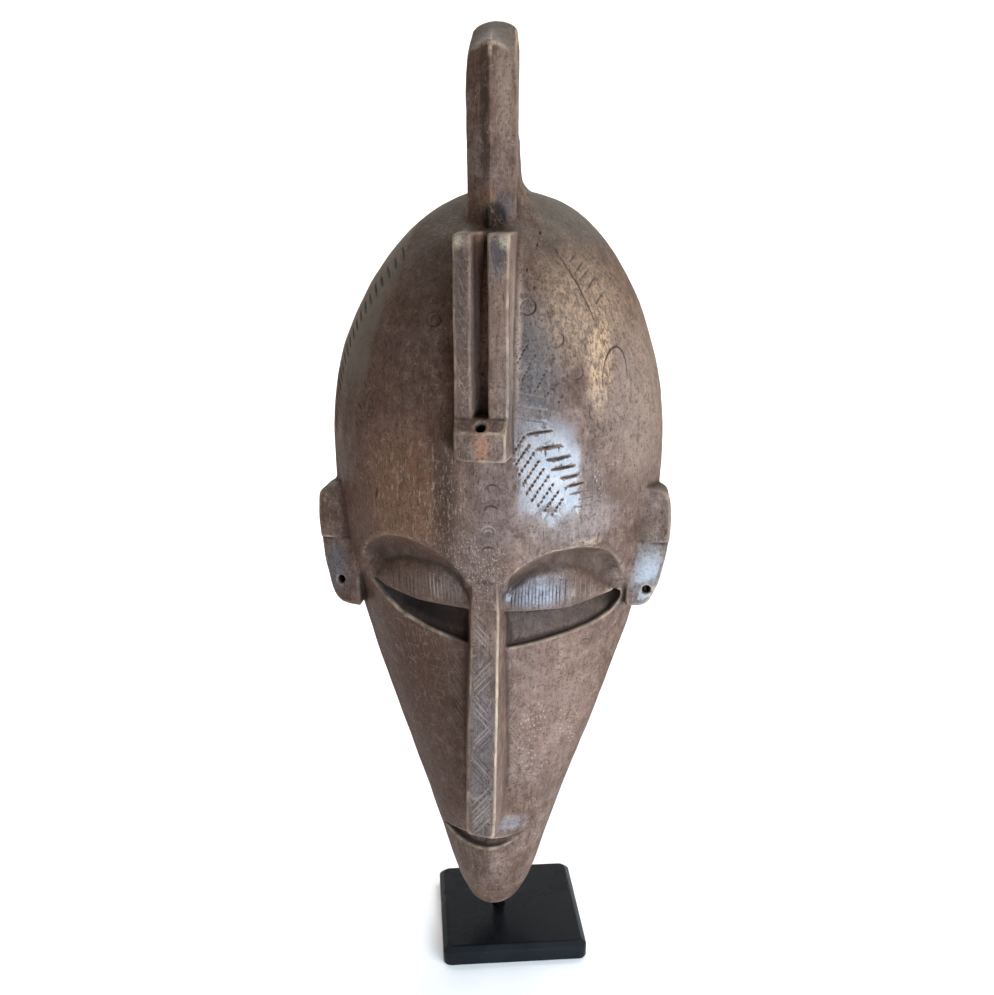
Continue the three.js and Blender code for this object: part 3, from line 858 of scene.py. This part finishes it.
# Pale pricks: under the post, between the brows, and down the right cheek
for start, end, depth in [((-17.3, 359.2), (-9.5, 356.1), 0.4), ((-23.1, 352.3), (-12.5, 348.2), 0.4),
                          ((-22.5, 347.6), (-14.6, 343.9), 0.4), ((-25, 341), (-16, 337), 0.3)]:
    row(start, end, 2.6, 1.3, 0.5, depth, 1)
for z in np.arange(279, 326, 3.1):
    for x in np.arange(-36, 16, 3.1):
        px, pz = x + rng.uniform(-1.1, 1.1), z + rng.uniform(-1, 1)
        above = pz - height_along(eyes[1 if px > 0 else -1]["brow"], abs(px))
        if (abs(px) > 8 and above < 2.4) or (px > -4 and pz > 303) or pz < 287 and abs(px) > 7:
            continue
        dash(px, pz, rng.uniform(60, 110), rng.uniform(1.1, 2), 0.5, rng.uniform(0.2, 0.45), 1)
for i, z in enumerate(np.arange(206, 150, -5.2)):
    row((22.5 - 0.12 * i, z), (34 - 0.8 * i, z + 2.2), 2.9, 1.4, 0.62, 0.5, 1)
row((54, 199), (41, 168), 2.7, 1.5, 0.62, 0.5, 1)
row((56.5, 197), (45, 170), 2.9, 1.3, 0.6, 0.5, 0)
for x, z in [(28.8, 324.7), (34.4, 324.1), (43.3, 327.5), (39.3, 325.7)]:
    dash(x, z, 88, 3.6, 0.42, 0.35, 0)
for i in range(11):
    dash(-7 + 1.6 * i, 62 + 5 * math.sin(2.1 * i), 80, 1.5, 0.55, 0.35, 1)

# Hatching on the lids, on the left wing of the post and in panels down the nose
for side, first, last, spacing, pale in [(1, 15, 45, 2.05, 0), (1, 47, 68, 3, 0.3),
                                         (-1, 15, 62, 2.3, 0.2)]:
    for x in np.arange(first, last, spacing):
        low = height_along(eyes[side]["lid edge"], x)
        top = height_along(eyes[side]["lid"], x)
        shade = 1 if side < 0 and 26 < x < 34 else rng.choice([0, 2 * pale])
        reach = rng.uniform(0.65, 1.05)
        mark([(side * x, low + 2), (side * (x + 0.4), low + 2 + (top - low - 4) * reach)],
             0.5, rng.uniform(0.35, 0.55), shade)
for z in np.arange(400, 492, 5.2):
    lift = rng.uniform(-1.5, 1.5)
    start, end = (-13.4 + rng.uniform(0, 2), z + lift + 4), (-7 - rng.uniform(0, 2), z + lift - 5)
    mark([start, (-10.6, z + lift), end], 0.42, rng.uniform(0.12, 0.3), rng.choice([0.3, 0.8]))
nose_panels = [(272, 254, -1, 4), (247, 224, 1, 5), (226, 203, -1, 4), (205, 184, 1, 5),
               (186, 163, -1, 5), (164, 146, 1, 5), (151, 138, 1, 5)]
for top, low, slope, count in nose_panels:
    for i in range(count):
        z = low + (top - low) * (0.2 + 0.6 * i / (count - 1))
        x0, x1 = -7 + rng.uniform(0, 1), 4.5 + rng.uniform(-1.5, 1.5)
        reach = 0.55 * (x1 - x0)
        mark([(x0, z - slope * reach), (x1, z + slope * reach)], 0.46, 0.45, rng.choice([0.1, 1, 1]))
for z in np.arange(199, 243, 4.4):
    dash(-18 + rng.uniform(-1, 1), z, -58, 11, 0.42, 0.35, 0.9)
for i in range(7):
    dash(18.5 + 2.1 * i, 235 - 1.2 * i, -60, 20 - i, 0.42, 0.35, 0.9)
for z in np.arange(156, 219, 3.9):
    dash(16.5 + rng.uniform(-1, 1), z, -56 if z < 196 else 58, 8.5, 0.42, 0.36, 0.9)
for i in range(40):
    x, z, angle = rng.uniform(-7, 7), rng.uniform(136, 160), rng.choice([50, -70])
    dash(x, z, angle, rng.uniform(1, 2.5), 0.4, 0.3, 1)

# The knife line that follows the upper lip
mark([(-33.5, 113.5), (-26, 109.8), (-17.5, 107)], 0.5, 0.5, 0.6)
mark([(12, 113.5), (20, 116), (28, 120.5)], 0.42, 0.35, 0.8)

tree = BVHTree.FromPolygons(points.tolist(), faces.tolist())
in_front = -200
least_facing = 0.12
landed = []
for px, pz, width, depth, pale in marks:
    place, normal, _, _ = tree.ray_cast(Vector((px, in_front, pz)), Vector((0, 1, 0)))
    if place is not None and normal.y < -least_facing:
        landed.append((place, width, depth, pale))
mark_tree = kdtree.KDTree(len(landed))
for i, entry in enumerate(landed):
    mark_tree.insert(entry[0], i)
mark_tree.balance()
mark_shape = np.array([entry[1:] for entry in landed])


def nearest_mark(points):
    """How far each point is from the nearest cut, and which cut that is."""
    found = [mark_tree.find(p) for p in points.tolist()]
    return np.array([f[2] for f in found]), np.array([f[1] for f in found])


def split_edges(points, faces, wanted):
    """Splits the wanted edges in half and cuts the triangles on both sides to match."""
    pairs = np.sort(faces[:, [[0, 1], [1, 2], [2, 0]]].reshape(-1, 2), axis=1)
    edges, which = np.unique(pairs, axis=0, return_inverse=True)
    chosen = wanted(points, edges)
    middle = np.full(len(edges), -1)
    middle[chosen] = len(points) + np.arange(chosen.sum())
    points = np.vstack([points, points[edges[chosen]].mean(axis=1)])
    sides = middle[which.reshape(-1)].reshape(-1, 3)
    count = (sides >= 0).sum(axis=1)
    out = [faces[count == 0]]
    for n in (1, 2, 3):
        f, m = faces[count == n], sides[count == n]
        if n < 3:
            odd = np.argmax(m >= 0, axis=1) if n == 1 else (np.argmax(m < 0, axis=1) + 1) % 3
            turn = (odd[:, None] + np.arange(3)) % 3
            f, m = np.take_along_axis(f, turn, 1), np.take_along_axis(m, turn, 1)
        a, b, c = f.T
        ab, bc, ca = m.T
        cuts_for = {
            1: [(a, ab, c), (ab, b, c)],
            2: [(ab, b, bc), (a, ab, bc), (a, bc, c)],
            3: [(a, ab, ca), (ab, b, bc), (ca, bc, c), (ab, bc, ca)],
        }
        out += [np.stack(t, axis=1) for t in cuts_for[n]]
    return points, np.vstack(out)


def settle(points):
    """Draws points onto the surface of the form."""
    for _ in range(2):
        points = points - outward(points) * sample(clipped, points)[:, None]
    return points


finest_edge = 0.52
arris_edge = 1.8
arris_bend = 0.06
groove_flank = 1.15
lip_height = 0.06


def near_cut_or_arris(finest):
    def wanted(points, edges):
        ends = points[edges]
        length = np.linalg.norm(ends[:, 0] - ends[:, 1], axis=1)
        bend = sample(arris_field, points)
        step = np.abs(bend[edges[:, 0]] - bend[edges[:, 1]])
        front = (ends[:, 0, 1] < -18) | (ends[:, 0, 2] > 480)
        on_arris = (step > arris_bend) & (length > arris_edge) & front
        long = length > finest
        far, which = np.full(len(edges), 1e6), np.zeros(len(edges), int)
        far[long], which[long] = nearest_mark(ends[long].mean(axis=1))
        groove = mark_shape[which, 0]
        fine = np.maximum(groove, finest_edge)
        near_cut = far < groove_flank * groove + 0.45 * length
        return on_arris | (long & (length > fine) & near_cut)
    return wanted


for finest in (2.0, 1.2, 0.75, finest_edge):
    points, faces = split_edges(points, faces, near_cut_or_arris(finest))
    points = settle(points)

far, which = nearest_mark(points)
width, depth, pale = mark_shape[which].T
inside = np.clip(1 - far / (width * groove_flank), 0, 1)
profile = inside * inside * (3 - 2 * inside)
lip = np.exp(-(((far - 1.45 * width) / (0.5 * width)) ** 2)) * lip_height
points = points - outward(points) * (depth * (profile - lip))[:, None]

mask = placed("carved_mask", mesh_of(points, faces, "carved_mask"))
mask.data.shade_smooth()
bend = sample(arris_field, points)
strength = np.clip(depth / 0.45, 0, 1.2)
for name, values in {
    "arris": np.clip((bend - 0.04) / 0.22, 0, 1),
    "hollow": np.clip((-bend - 0.02) / 0.2, 0, 1),
    "dark_cut": profile * strength * (1 - pale),
    "pale_cut": profile * strength * pale,
    "sunk": np.clip((-sample(head, points) - 1.2) / 7, 0, 1),
}.items():
    layer = mask.data.attributes.new(name, "FLOAT", "POINT")
    layer.data.foreach_set("value", values.astype(np.float32))


# The mask's finish: dark brown wood under a hand-rubbed polish of oil and smoke. It has worn through to
# bare wood on the arrises, and its upper faces are greyed by dust and a painted grey sheen; painted light
# and shade are laid into the colour where marked.
brown = (0.170, 0.094, 0.062)
mauve = (0.205, 0.136, 0.116)
umber = (0.068, 0.035, 0.022)
dark = (0.030, 0.017, 0.012)
red = (0.170, 0.076, 0.040)
tan = (0.290, 0.205, 0.140)
ochre = (0.520, 0.330, 0.200)
bare = (0.430, 0.310, 0.210)
slate = (0.110, 0.104, 0.105)
dust = (0.068, 0.063, 0.050)
soot = (0.012, 0.008, 0.007)


def wood_finish():
    material, shader, start, place = new_material("rubbed_dark_wood")
    noise = start.noise
    across, behind, upward = place.parts()
    to_right, to_back, to_sky = start.node("ShaderNodeNewGeometry", output="Normal").parts()
    on_front = 1 - to_back.step(0.2, 0.5)

    def painted(name):
        return start.node("ShaderNodeAttribute", {"attribute_name": name}, output="Fac")

    def patch(centre, radii):
        """A soft spot in millimetres, on the face, edges or sides but not in the hollow behind."""
        shift = [-c / r for c, r in zip(centre, radii)]
        scale = [1 / (r * MM) for r in radii]
        away = start.node("ShaderNodeMapping", Vector=place, Location=shift, Scale=scale)
        length = start.node("ShaderNodeVectorMath", {"operation": "LENGTH"}, Vector=away, output="Value")
        return (1 - length.step(0.25, 1.0)) * on_front

    def scratches(stretch, scale, fineness):
        """Thin wandering lines, where a noise crosses its middle value."""
        waver = noise(start.stretched(place, stretch), scale, 2.0, 0.5)
        return 1 - start.math("ABSOLUTE", waver - 0.5).step(0.0, fineness)

    def streaks(slant, scale, fine, low, high):
        """Short fine strokes along the grain, or turned from it by a slant."""
        along = start.stretched(place, (1, 1, 0.09), slant)
        return noise(along, scale, fine, 0.5).step(low, high)

    def pricks(slant, along, between, size):
        """Rows of small dots seen from the front, with steps in millimetres along and between."""
        c, s = math.cos(math.radians(slant)), math.sin(math.radians(slant))
        x = (across * c + upward * s) * (1 / (along * MM))
        y = (upward * c - across * s) * (1 / (between * MM))
        spot = start.node("ShaderNodeCombineXYZ", X=x, Y=y)
        flat = {"voronoi_dimensions": "2D"}
        gap = start.node("ShaderNodeTexVoronoi", flat, "Distance", Vector=spot, Scale=1.0, Randomness=0.6)
        return 1 - gap.step(size, size + 0.16)

    # The grain and grime, and the fine strokes of the knife over them
    clouds = noise(place, 20.0, 4.0).step(0.3, 0.7)
    broad = noise(place, 8.0, 2.0).step(0.35, 0.65)
    grime = noise(place, 48.0, 6.0, 0.7).step(0.42, 0.64)
    grain = noise(start.stretched(place, (1, 1, 0.09)), 240.0, 4.0, 0.65)
    mottle = noise(place, 230.0, 5.0, 0.75)
    dabs = noise(place, 120.0, 4.0, 0.65)
    speckle = noise(place, 620.0, 3.0, 0.7)
    flecks = noise(start.stretched(place, (1, 1, 0.3)), 560.0, 3.0, 0.6)
    pores = noise(start.stretched(place, (1, 1, 0.3)), 700.0, 2.0).step(0.6, 0.7)
    low_forehead = patch((-45, -85, 335), (55, 60, 45)) + patch((52, -85, 325), (45, 50, 25))
    upright = streaks(0, 1050.0, 3.0, 0.57, 0.68) * mottle.step(0.4, 0.6) * (low_forehead + 0.12)
    slanting = streaks(34, 620.0, 2.0, 0.64, 0.7) + streaks(-48, 560.0, 2.0, 0.65, 0.71)
    scribble = scratches((1, 1, 1), 210.0, 0.020) * dabs.step(0.48, 0.6)
    scribble = scribble + scratches((1, 1, 0.5), 120.0, 0.014) * mottle.step(0.48, 0.6)
    hairlines = scratches((1, 1, 0.3), 40.0, 0.008) * mottle.step(0.45, 0.6)

    # The ground colour, darker down the left side as painted shade away from the light, and redder on the
    # left of the forehead
    shaded_left = 1 - across.step(-0.05, 0.012)
    below_eyes = 1 - upward.step(0.25, 0.29)
    left_forehead = patch((-45, -80, 345), (48, 60, 62))
    colour = start.mix(clouds * 0.8, brown, mauve)
    for share, tint in [
        (broad * 0.35, umber),
        (dabs.step(0.52, 0.66) * 0.45, (0.300, 0.200, 0.150)),
        ((1 - dabs.step(0.36, 0.48)) * 0.55, umber),
        (grime * 0.55, umber),
        (shaded_left * (below_eyes * 0.53 + 0.42), (0.064, 0.024, 0.013)),
        (left_forehead * 0.8, red),
    ]:
        colour = start.mix(share, colour, tint)

    # Each place that is stained, handled or rubbed, or where light or shade is painted in: its middle,
    # reach, strength and colour
    left_wing = (-11, -105, 445), (6, 12, 75)
    slot_painted_light = (-1, -80, 450), (6.5, 22, 85)
    chipped = mottle.step(0.3, 0.5) * 0.8
    for centre, radii, share, tint in [
        # right of the post, left of it, and the front of the nose
        ((25, -85, 420), (26, 50, 60), 0.7, slate),
        ((-23, -90, 345), (11, 30, 60), 0.75, dark),
        ((-1, -104, 190), (12, 30, 110), 0.55, slate),
        # the right cheek, lighter as painted light from the right, and the outer and upper right of the
        # dome
        ((40, -60, 205), (44, 60, 85), clouds * 0.35 + 0.2, (0.290, 0.172, 0.132)),
        ((88, -45, 400), (34, 70, 75), 0.55, (0.340, 0.245, 0.190)),
        ((50, -10, 505), (40, 60, 32), 0.6, (0.150, 0.140, 0.115)),
        # the post: its right side, a paler tan as painted light, both wings, the slot with its inside
        # brightened as painted light and its left wall, and the block at its foot
        ((17.5, -80, 440), (4.5, 40, 75), 0.9, (0.370, 0.260, 0.200)),
        (*left_wing, 0.95 - 0.3 * broad, (0.070, 0.046, 0.040)),
        (*left_wing, (1 - upward.step(0.42, 0.455)) * 0.6, (0.135, 0.070, 0.048)),
        ((9.5, -105, 440), (7.5, 12, 60), 0.5, (0.235, 0.135, 0.090)),
        ((9.5, -105, 482), (6.5, 12, 18), 0.85, (0.070, 0.058, 0.060)),
        (*slot_painted_light, 1, (0.60, 0.34, 0.26)),
        ((-5.2, -99, 445), (3, 12, 75), 0.85, (0.150, 0.095, 0.075)),
        ((1, -112, 380), (7, 20, 14), 0.7, (0.32, 0.15, 0.085)),
        # the fin: painted shade on the left beside its front arris, painted light on its right face, its
        # foot, and the lip of the crack there
        ((-3, -55, 560), (4, 12, 60), 0.6, dark),
        ((8, -50, 570), (7, 14, 45), mottle.step(0.35, 0.6) * 0.4 + 0.35, (0.27, 0.195, 0.145)),
        ((7, -55, 507), (12, 20, 14), 0.85, (0.062, 0.057, 0.060)),
        ((-1.5, -55, 513), (7, 16, 10), mottle.step(0.4, 0.55) * 0.8, (0.30, 0.150, 0.070)),
        # the middle and right of the low forehead
        ((0, -92, 333), (24, 30, 40), 0.4, (0.120, 0.082, 0.074)),
        ((56, -80, 331), (36, 40, 20), 0.45, (0.300, 0.235, 0.215)),
        # bare wood at the fin's peak and the post's top corners, and on the right brow bare wood with a
        # painted highlight
        ((0, -55, 595), (22, 16, 8.5), painted("arris").step(0.05, 0.5) * 0.75, (0.50, 0.38, 0.27)),
        ((-12.5, -103, 490.5), (6.5, 10, 6.5), chipped, (0.40, 0.31, 0.22)),
        ((13.5, -103, 490.5), (6.5, 10, 6.5), chipped, (0.40, 0.31, 0.22)),
        ((63, -83, 316.5), (17, 20, 4), mottle.step(0.42, 0.55) * 0.9, bare),
        # painted sheen beside the nose's tip, on the right lobe and lid, and a grey painted sheen on the
        # left lobe, and that lobe's hole
        ((18, -78, 118), (20, 30, 10), dabs.step(0.36, 0.56) * 0.8, (0.28, 0.28, 0.32)),
        ((100, -46, 284), (18, 20, 34), 0.5, (0.22, 0.215, 0.225)),
        ((34, -86, 284), (30, 20, 14), 0.8, (0.35, 0.35, 0.40)),
        ((-101, -46, 285), (14, 20, 26), 0.7, slate),
        ((-96.5, -46, 277.5), (4, 20, 4), 0.8, (0.20, 0.045, 0.02)),
    ]:
        colour = start.mix(patch(centre, radii) * share, colour, tint)

    # Over these lie the scraped right shoulder, the pores and strokes, dust with a painted grey sheen, a
    # painted rim light, and painted shade in the hollows
    crack = patch((2.5, -50, 500.5), (10, 30, 15)).step(0.1, 0.7)
    worn = patch((65, -70, 418), (10, 50, 36))
    shoulder = patch((55, -60, 452), (36, 60, 45))
    scraped = flecks.step(0.42, 0.58) * (shoulder * 0.55 + worn * 0.7) + worn * 0.2
    light_flecks = flecks.step(0.56, 0.70) * (left_forehead * 0.6 + shoulder * 0.5 + 0.25)
    cheek_rows = patch((28.5, -60, 180), (14, 50, 40)).step(0.1, 0.35)
    cheek_edge = patch((49, -60, 184), (10, 50, 22)).step(0.1, 0.35)
    post_foot = patch((-19, -90, 349), (13, 30, 16)) * 0.6
    between_brows = patch((-4, -92, 303), (30, 22, 28)).step(0.05, 0.6)
    pricked = pricks(12, 2.5, 4.6, 0.10) * cheek_rows + pricks(64, 2.6, 3.8, 0.10) * cheek_edge
    pricked = pricked + pricks(12, 2.4, 4.6, 0.07) * post_foot + pricks(8, 2.6, 3.2, 0.06) * between_brows
    pricked = pricked * dabs.step(0.38, 0.58)
    ledge = patch((0, -108.5, 391), (20, 8, 8))
    crown = patch((0, -30, 606), (22, 60, 18))
    facing_left = 1 - to_right.step(-0.67, -0.61)
    # Painted rim light: a paler band where the dome turns to the left, between two heights.
    painted_rim_light = facing_left * upward.step(0.385, 0.43) * (1 - upward.step(0.50, 0.515))
    # Painted shade: recesses darker by their depth below the skin, most in the left eye, which the nose
    # shades.
    left_eye_shade = patch((-45, -66, 262), (50, 40, 20))
    sunk, hollow = painted("sunk"), painted("hollow")
    for share, tint in [
        (crack, soot),
        (shoulder * 0.45, tan),
        (scraped, ochre),
        (light_flecks, (0.30, 0.19, 0.125)),
        (mottle.step(0.48, 0.66) * 0.55, umber),
        (grain.step(0.45, 0.7) * 0.28, dark),
        (upright * 0.5 + slanting * 0.16, (0.34, 0.235, 0.165)),
        (scribble * 0.3, (0.40, 0.29, 0.21)),
        (speckle.step(0.54, 0.66) * 0.6, dark),
        (pricked * 0.62, (0.42, 0.32, 0.25)),
        (pores * 0.5, dark),
        # Greyer on faces turned up: dust, with a painted grey sheen of the light from above.
        (to_sky.step(0.3, 0.95) * (1 - ledge) * 0.68, dust),
        (crown * 0.15, (0.046, 0.043, 0.034)),
        (painted_rim_light * (0.75 - 0.3 * dabs.step(0.4, 0.6)), (0.158, 0.138, 0.110)),
        (hairlines * 0.16, bare),
        (sunk * (left_eye_shade * 0.4 + 0.55), start.mix(left_eye_shade, dark, soot)),
        # Painted shade: concave creases darker, but not inside the slot.
        (hollow * (1 - patch(*slot_painted_light) * 0.9) * 0.75, dark),
    ]:
        colour = start.mix(share, colour, tint)

    # Bare wood along the arrises, with a painted highlight making them paler on the right half, the
    # nose's right arris and the right brow, and the knife's cuts
    breaks = noise(place, 150.0, 3.0).step(0.36, 0.62)
    breaks = breaks * noise(place, 38.0, 2.0).step(0.36, 0.6)
    edge_highlight = patch((9, -100, 210), (6, 20, 110)) + patch((52, -85, 314), (22, 30, 8))
    arris = painted("arris").step(0.3, 1.0) * (1 - sunk.step(0.15, 0.5))
    arris = arris * (breaks * 0.5 + across.step(-0.02, 0.02) * 0.12 + edge_highlight * 0.5 + 0.1)
    for centre, radii, share in [
        # the front of the fin, the lip of the peg hole and the edges of the slot stay dark
        ((0, -55, 540), (6, 12, 75), 1),
        ((-0.1, -109.5, 391), (7, 8, 6), 1),
        ((-1.5, -104, 455), (12.5, 12, 95), 0.9),
    ]:
        arris = arris * (1 - patch(centre, radii) * share)
    dark_cut = painted("dark_cut")
    colour = start.mix(arris, colour, bare)
    colour = start.mix(dark_cut * 0.95, colour, soot)
    colour = start.mix(painted("pale_cut") * 0.62, colour, (0.40, 0.30, 0.23))
    feed(start, shader, "Base Color", colour)

    # The polish shines on the forehead, the right lid, the right lobe and beside the nose
    polish = patch((48, -83, 356), (50, 60, 58)) * 0.85 * (1 - patch((64, -78, 387), (26, 30, 26)))
    for centre, radii, shine in [
        ((38, -86, 283), (36, 30, 16), 0.8),
        ((99, -50, 280), (16, 20, 30), 0.6),
        ((14, -78, 118), (14, 30, 18), 0.8),
    ]:
        polish = start.math("MAXIMUM", polish, patch(centre, radii) * shine)
    flank = behind.step(-0.050, -0.025)
    rough = clouds * 0.1 + mottle * 0.2 + arris * 0.12 + hollow * 0.2 + scraped * 0.15 + 0.36
    feed(start, shader, "Roughness", rough - polish * 0.12 + flank * 0.35)
    feed(start, shader, "Coat Weight", polish * (1 - scraped) * (1 - dark_cut) + 0.02)
    shader.inputs["Coat Roughness"].default_value = 0.12
    shader.inputs["Specular IOR Level"].default_value = 0.13
    height = grain * 0.4 + flecks * 0.4 - pores * 0.5 + mottle * 1.1 + speckle * 0.5
    height = height + noise(place, 62.0, 3.0) * 1.2 - (upright + slanting) * 0.3 - pricked * 0.5
    bump = start.node("ShaderNodeBump", Strength=0.5, Distance=0.0009, Height=height)
    feed(start, shader, "Normal", bump)
    return material


mask.data.materials.append(wood_finish())
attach(mask, "root")
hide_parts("mask")


# The room: a plain pale floor that sweeps up behind, a large soft light from the right,
# a weaker one from the left, two from above, and a window-like panel low on the right.
floor_half = 3.0
sweep_start = 1.1
sweep_radius = 0.9
sweep_steps = 14
wall_top = 3.2
mesh = bmesh.new()
profile_line = [(-floor_half, 0.0)]
for step in range(sweep_steps + 1):
    angle = math.pi / 2 * step / sweep_steps
    profile_line.append((sweep_start + sweep_radius * math.sin(angle),
                         sweep_radius * (1 - math.cos(angle))))
profile_line.append((sweep_start + sweep_radius, wall_top))
left, right = [[mesh.verts.new((x, y, z)) for y, z in profile_line] for x in (-floor_half, floor_half)]
for i in range(1, len(profile_line)):
    mesh.faces.new((left[i - 1], right[i - 1], right[i], left[i]))
floor = placed("floor", smooth_data("floor", mesh))
paper, paper_shader, _, _ = new_material("pale_paper")
paper_shader.inputs["Base Color"].default_value = (0.93, 0.93, 0.93, 1)
paper_shader.inputs["Roughness"].default_value = 0.85
paper_shader.inputs["Specular IOR Level"].default_value = 0.1
floor.data.materials.append(paper)


def panel_light(name, place, aim, size, power, colour):
    light = bpy.data.lights.new(name, "AREA")
    light.shape = "RECTANGLE"
    light.size, light.size_y = size
    light.energy = power
    light.color = colour
    panel = placed(name, light)
    panel.location = place
    panel.rotation_euler = (Vector(aim) - Vector(place)).to_track_quat("-Z", "Y").to_euler()


middle = (0.0, -0.03, 0.33)
forehead = (0.043, -0.084, 0.355)
panel_light("window", (0.305, -0.525, 0.262), forehead, (0.38, 0.205), 4.8, (0.56, 0.78, 1.0))
panel_light("right_light", (1.5, -0.8, 1.2), middle, (0.9, 0.9), 19, (1.0, 0.95, 0.9))
panel_light("left_light", (-1.5, 0.2, 0.9), middle, (0.7, 1.2), 3.0, (1.0, 0.89, 0.78))
panel_light("top_light", (0.0, 0.4, 2.4), (0.0, 0.4, 0.0), (2.4, 2.0), 19, (1.0, 0.99, 0.97))
panel_light("wall_light", (0.0, 1.2, 2.4), (0.0, 1.9, 0.5), (3.0, 0.5), 60, (1.0, 1.0, 1.0))
world = bpy.data.worlds.new("studio")
bpy.context.scene.world = world
world.use_nodes = True
world.node_tree.nodes["Background"].inputs["Color"].default_value = (1.0, 0.97, 0.94, 1)
world.node_tree.nodes["Background"].inputs["Strength"].default_value = 0.16
bpy.context.scene.view_settings.view_transform = "Standard"

# The camera: a little above the dome, a little to the right, looking slightly down
sensor = 36.0
picture_width = 994
focal_pixels = 1100
camera_data = bpy.data.cameras.new("camera")
camera_data.sensor_width = sensor
camera_data.lens = focal_pixels / picture_width * sensor
camera = placed("camera", camera_data)
camera.location = (0.0662, -0.7006, 0.5112)
camera.rotation_euler = (math.radians(74.9), 0, math.radians(5.5))
bpy.context.scene.camera = camera
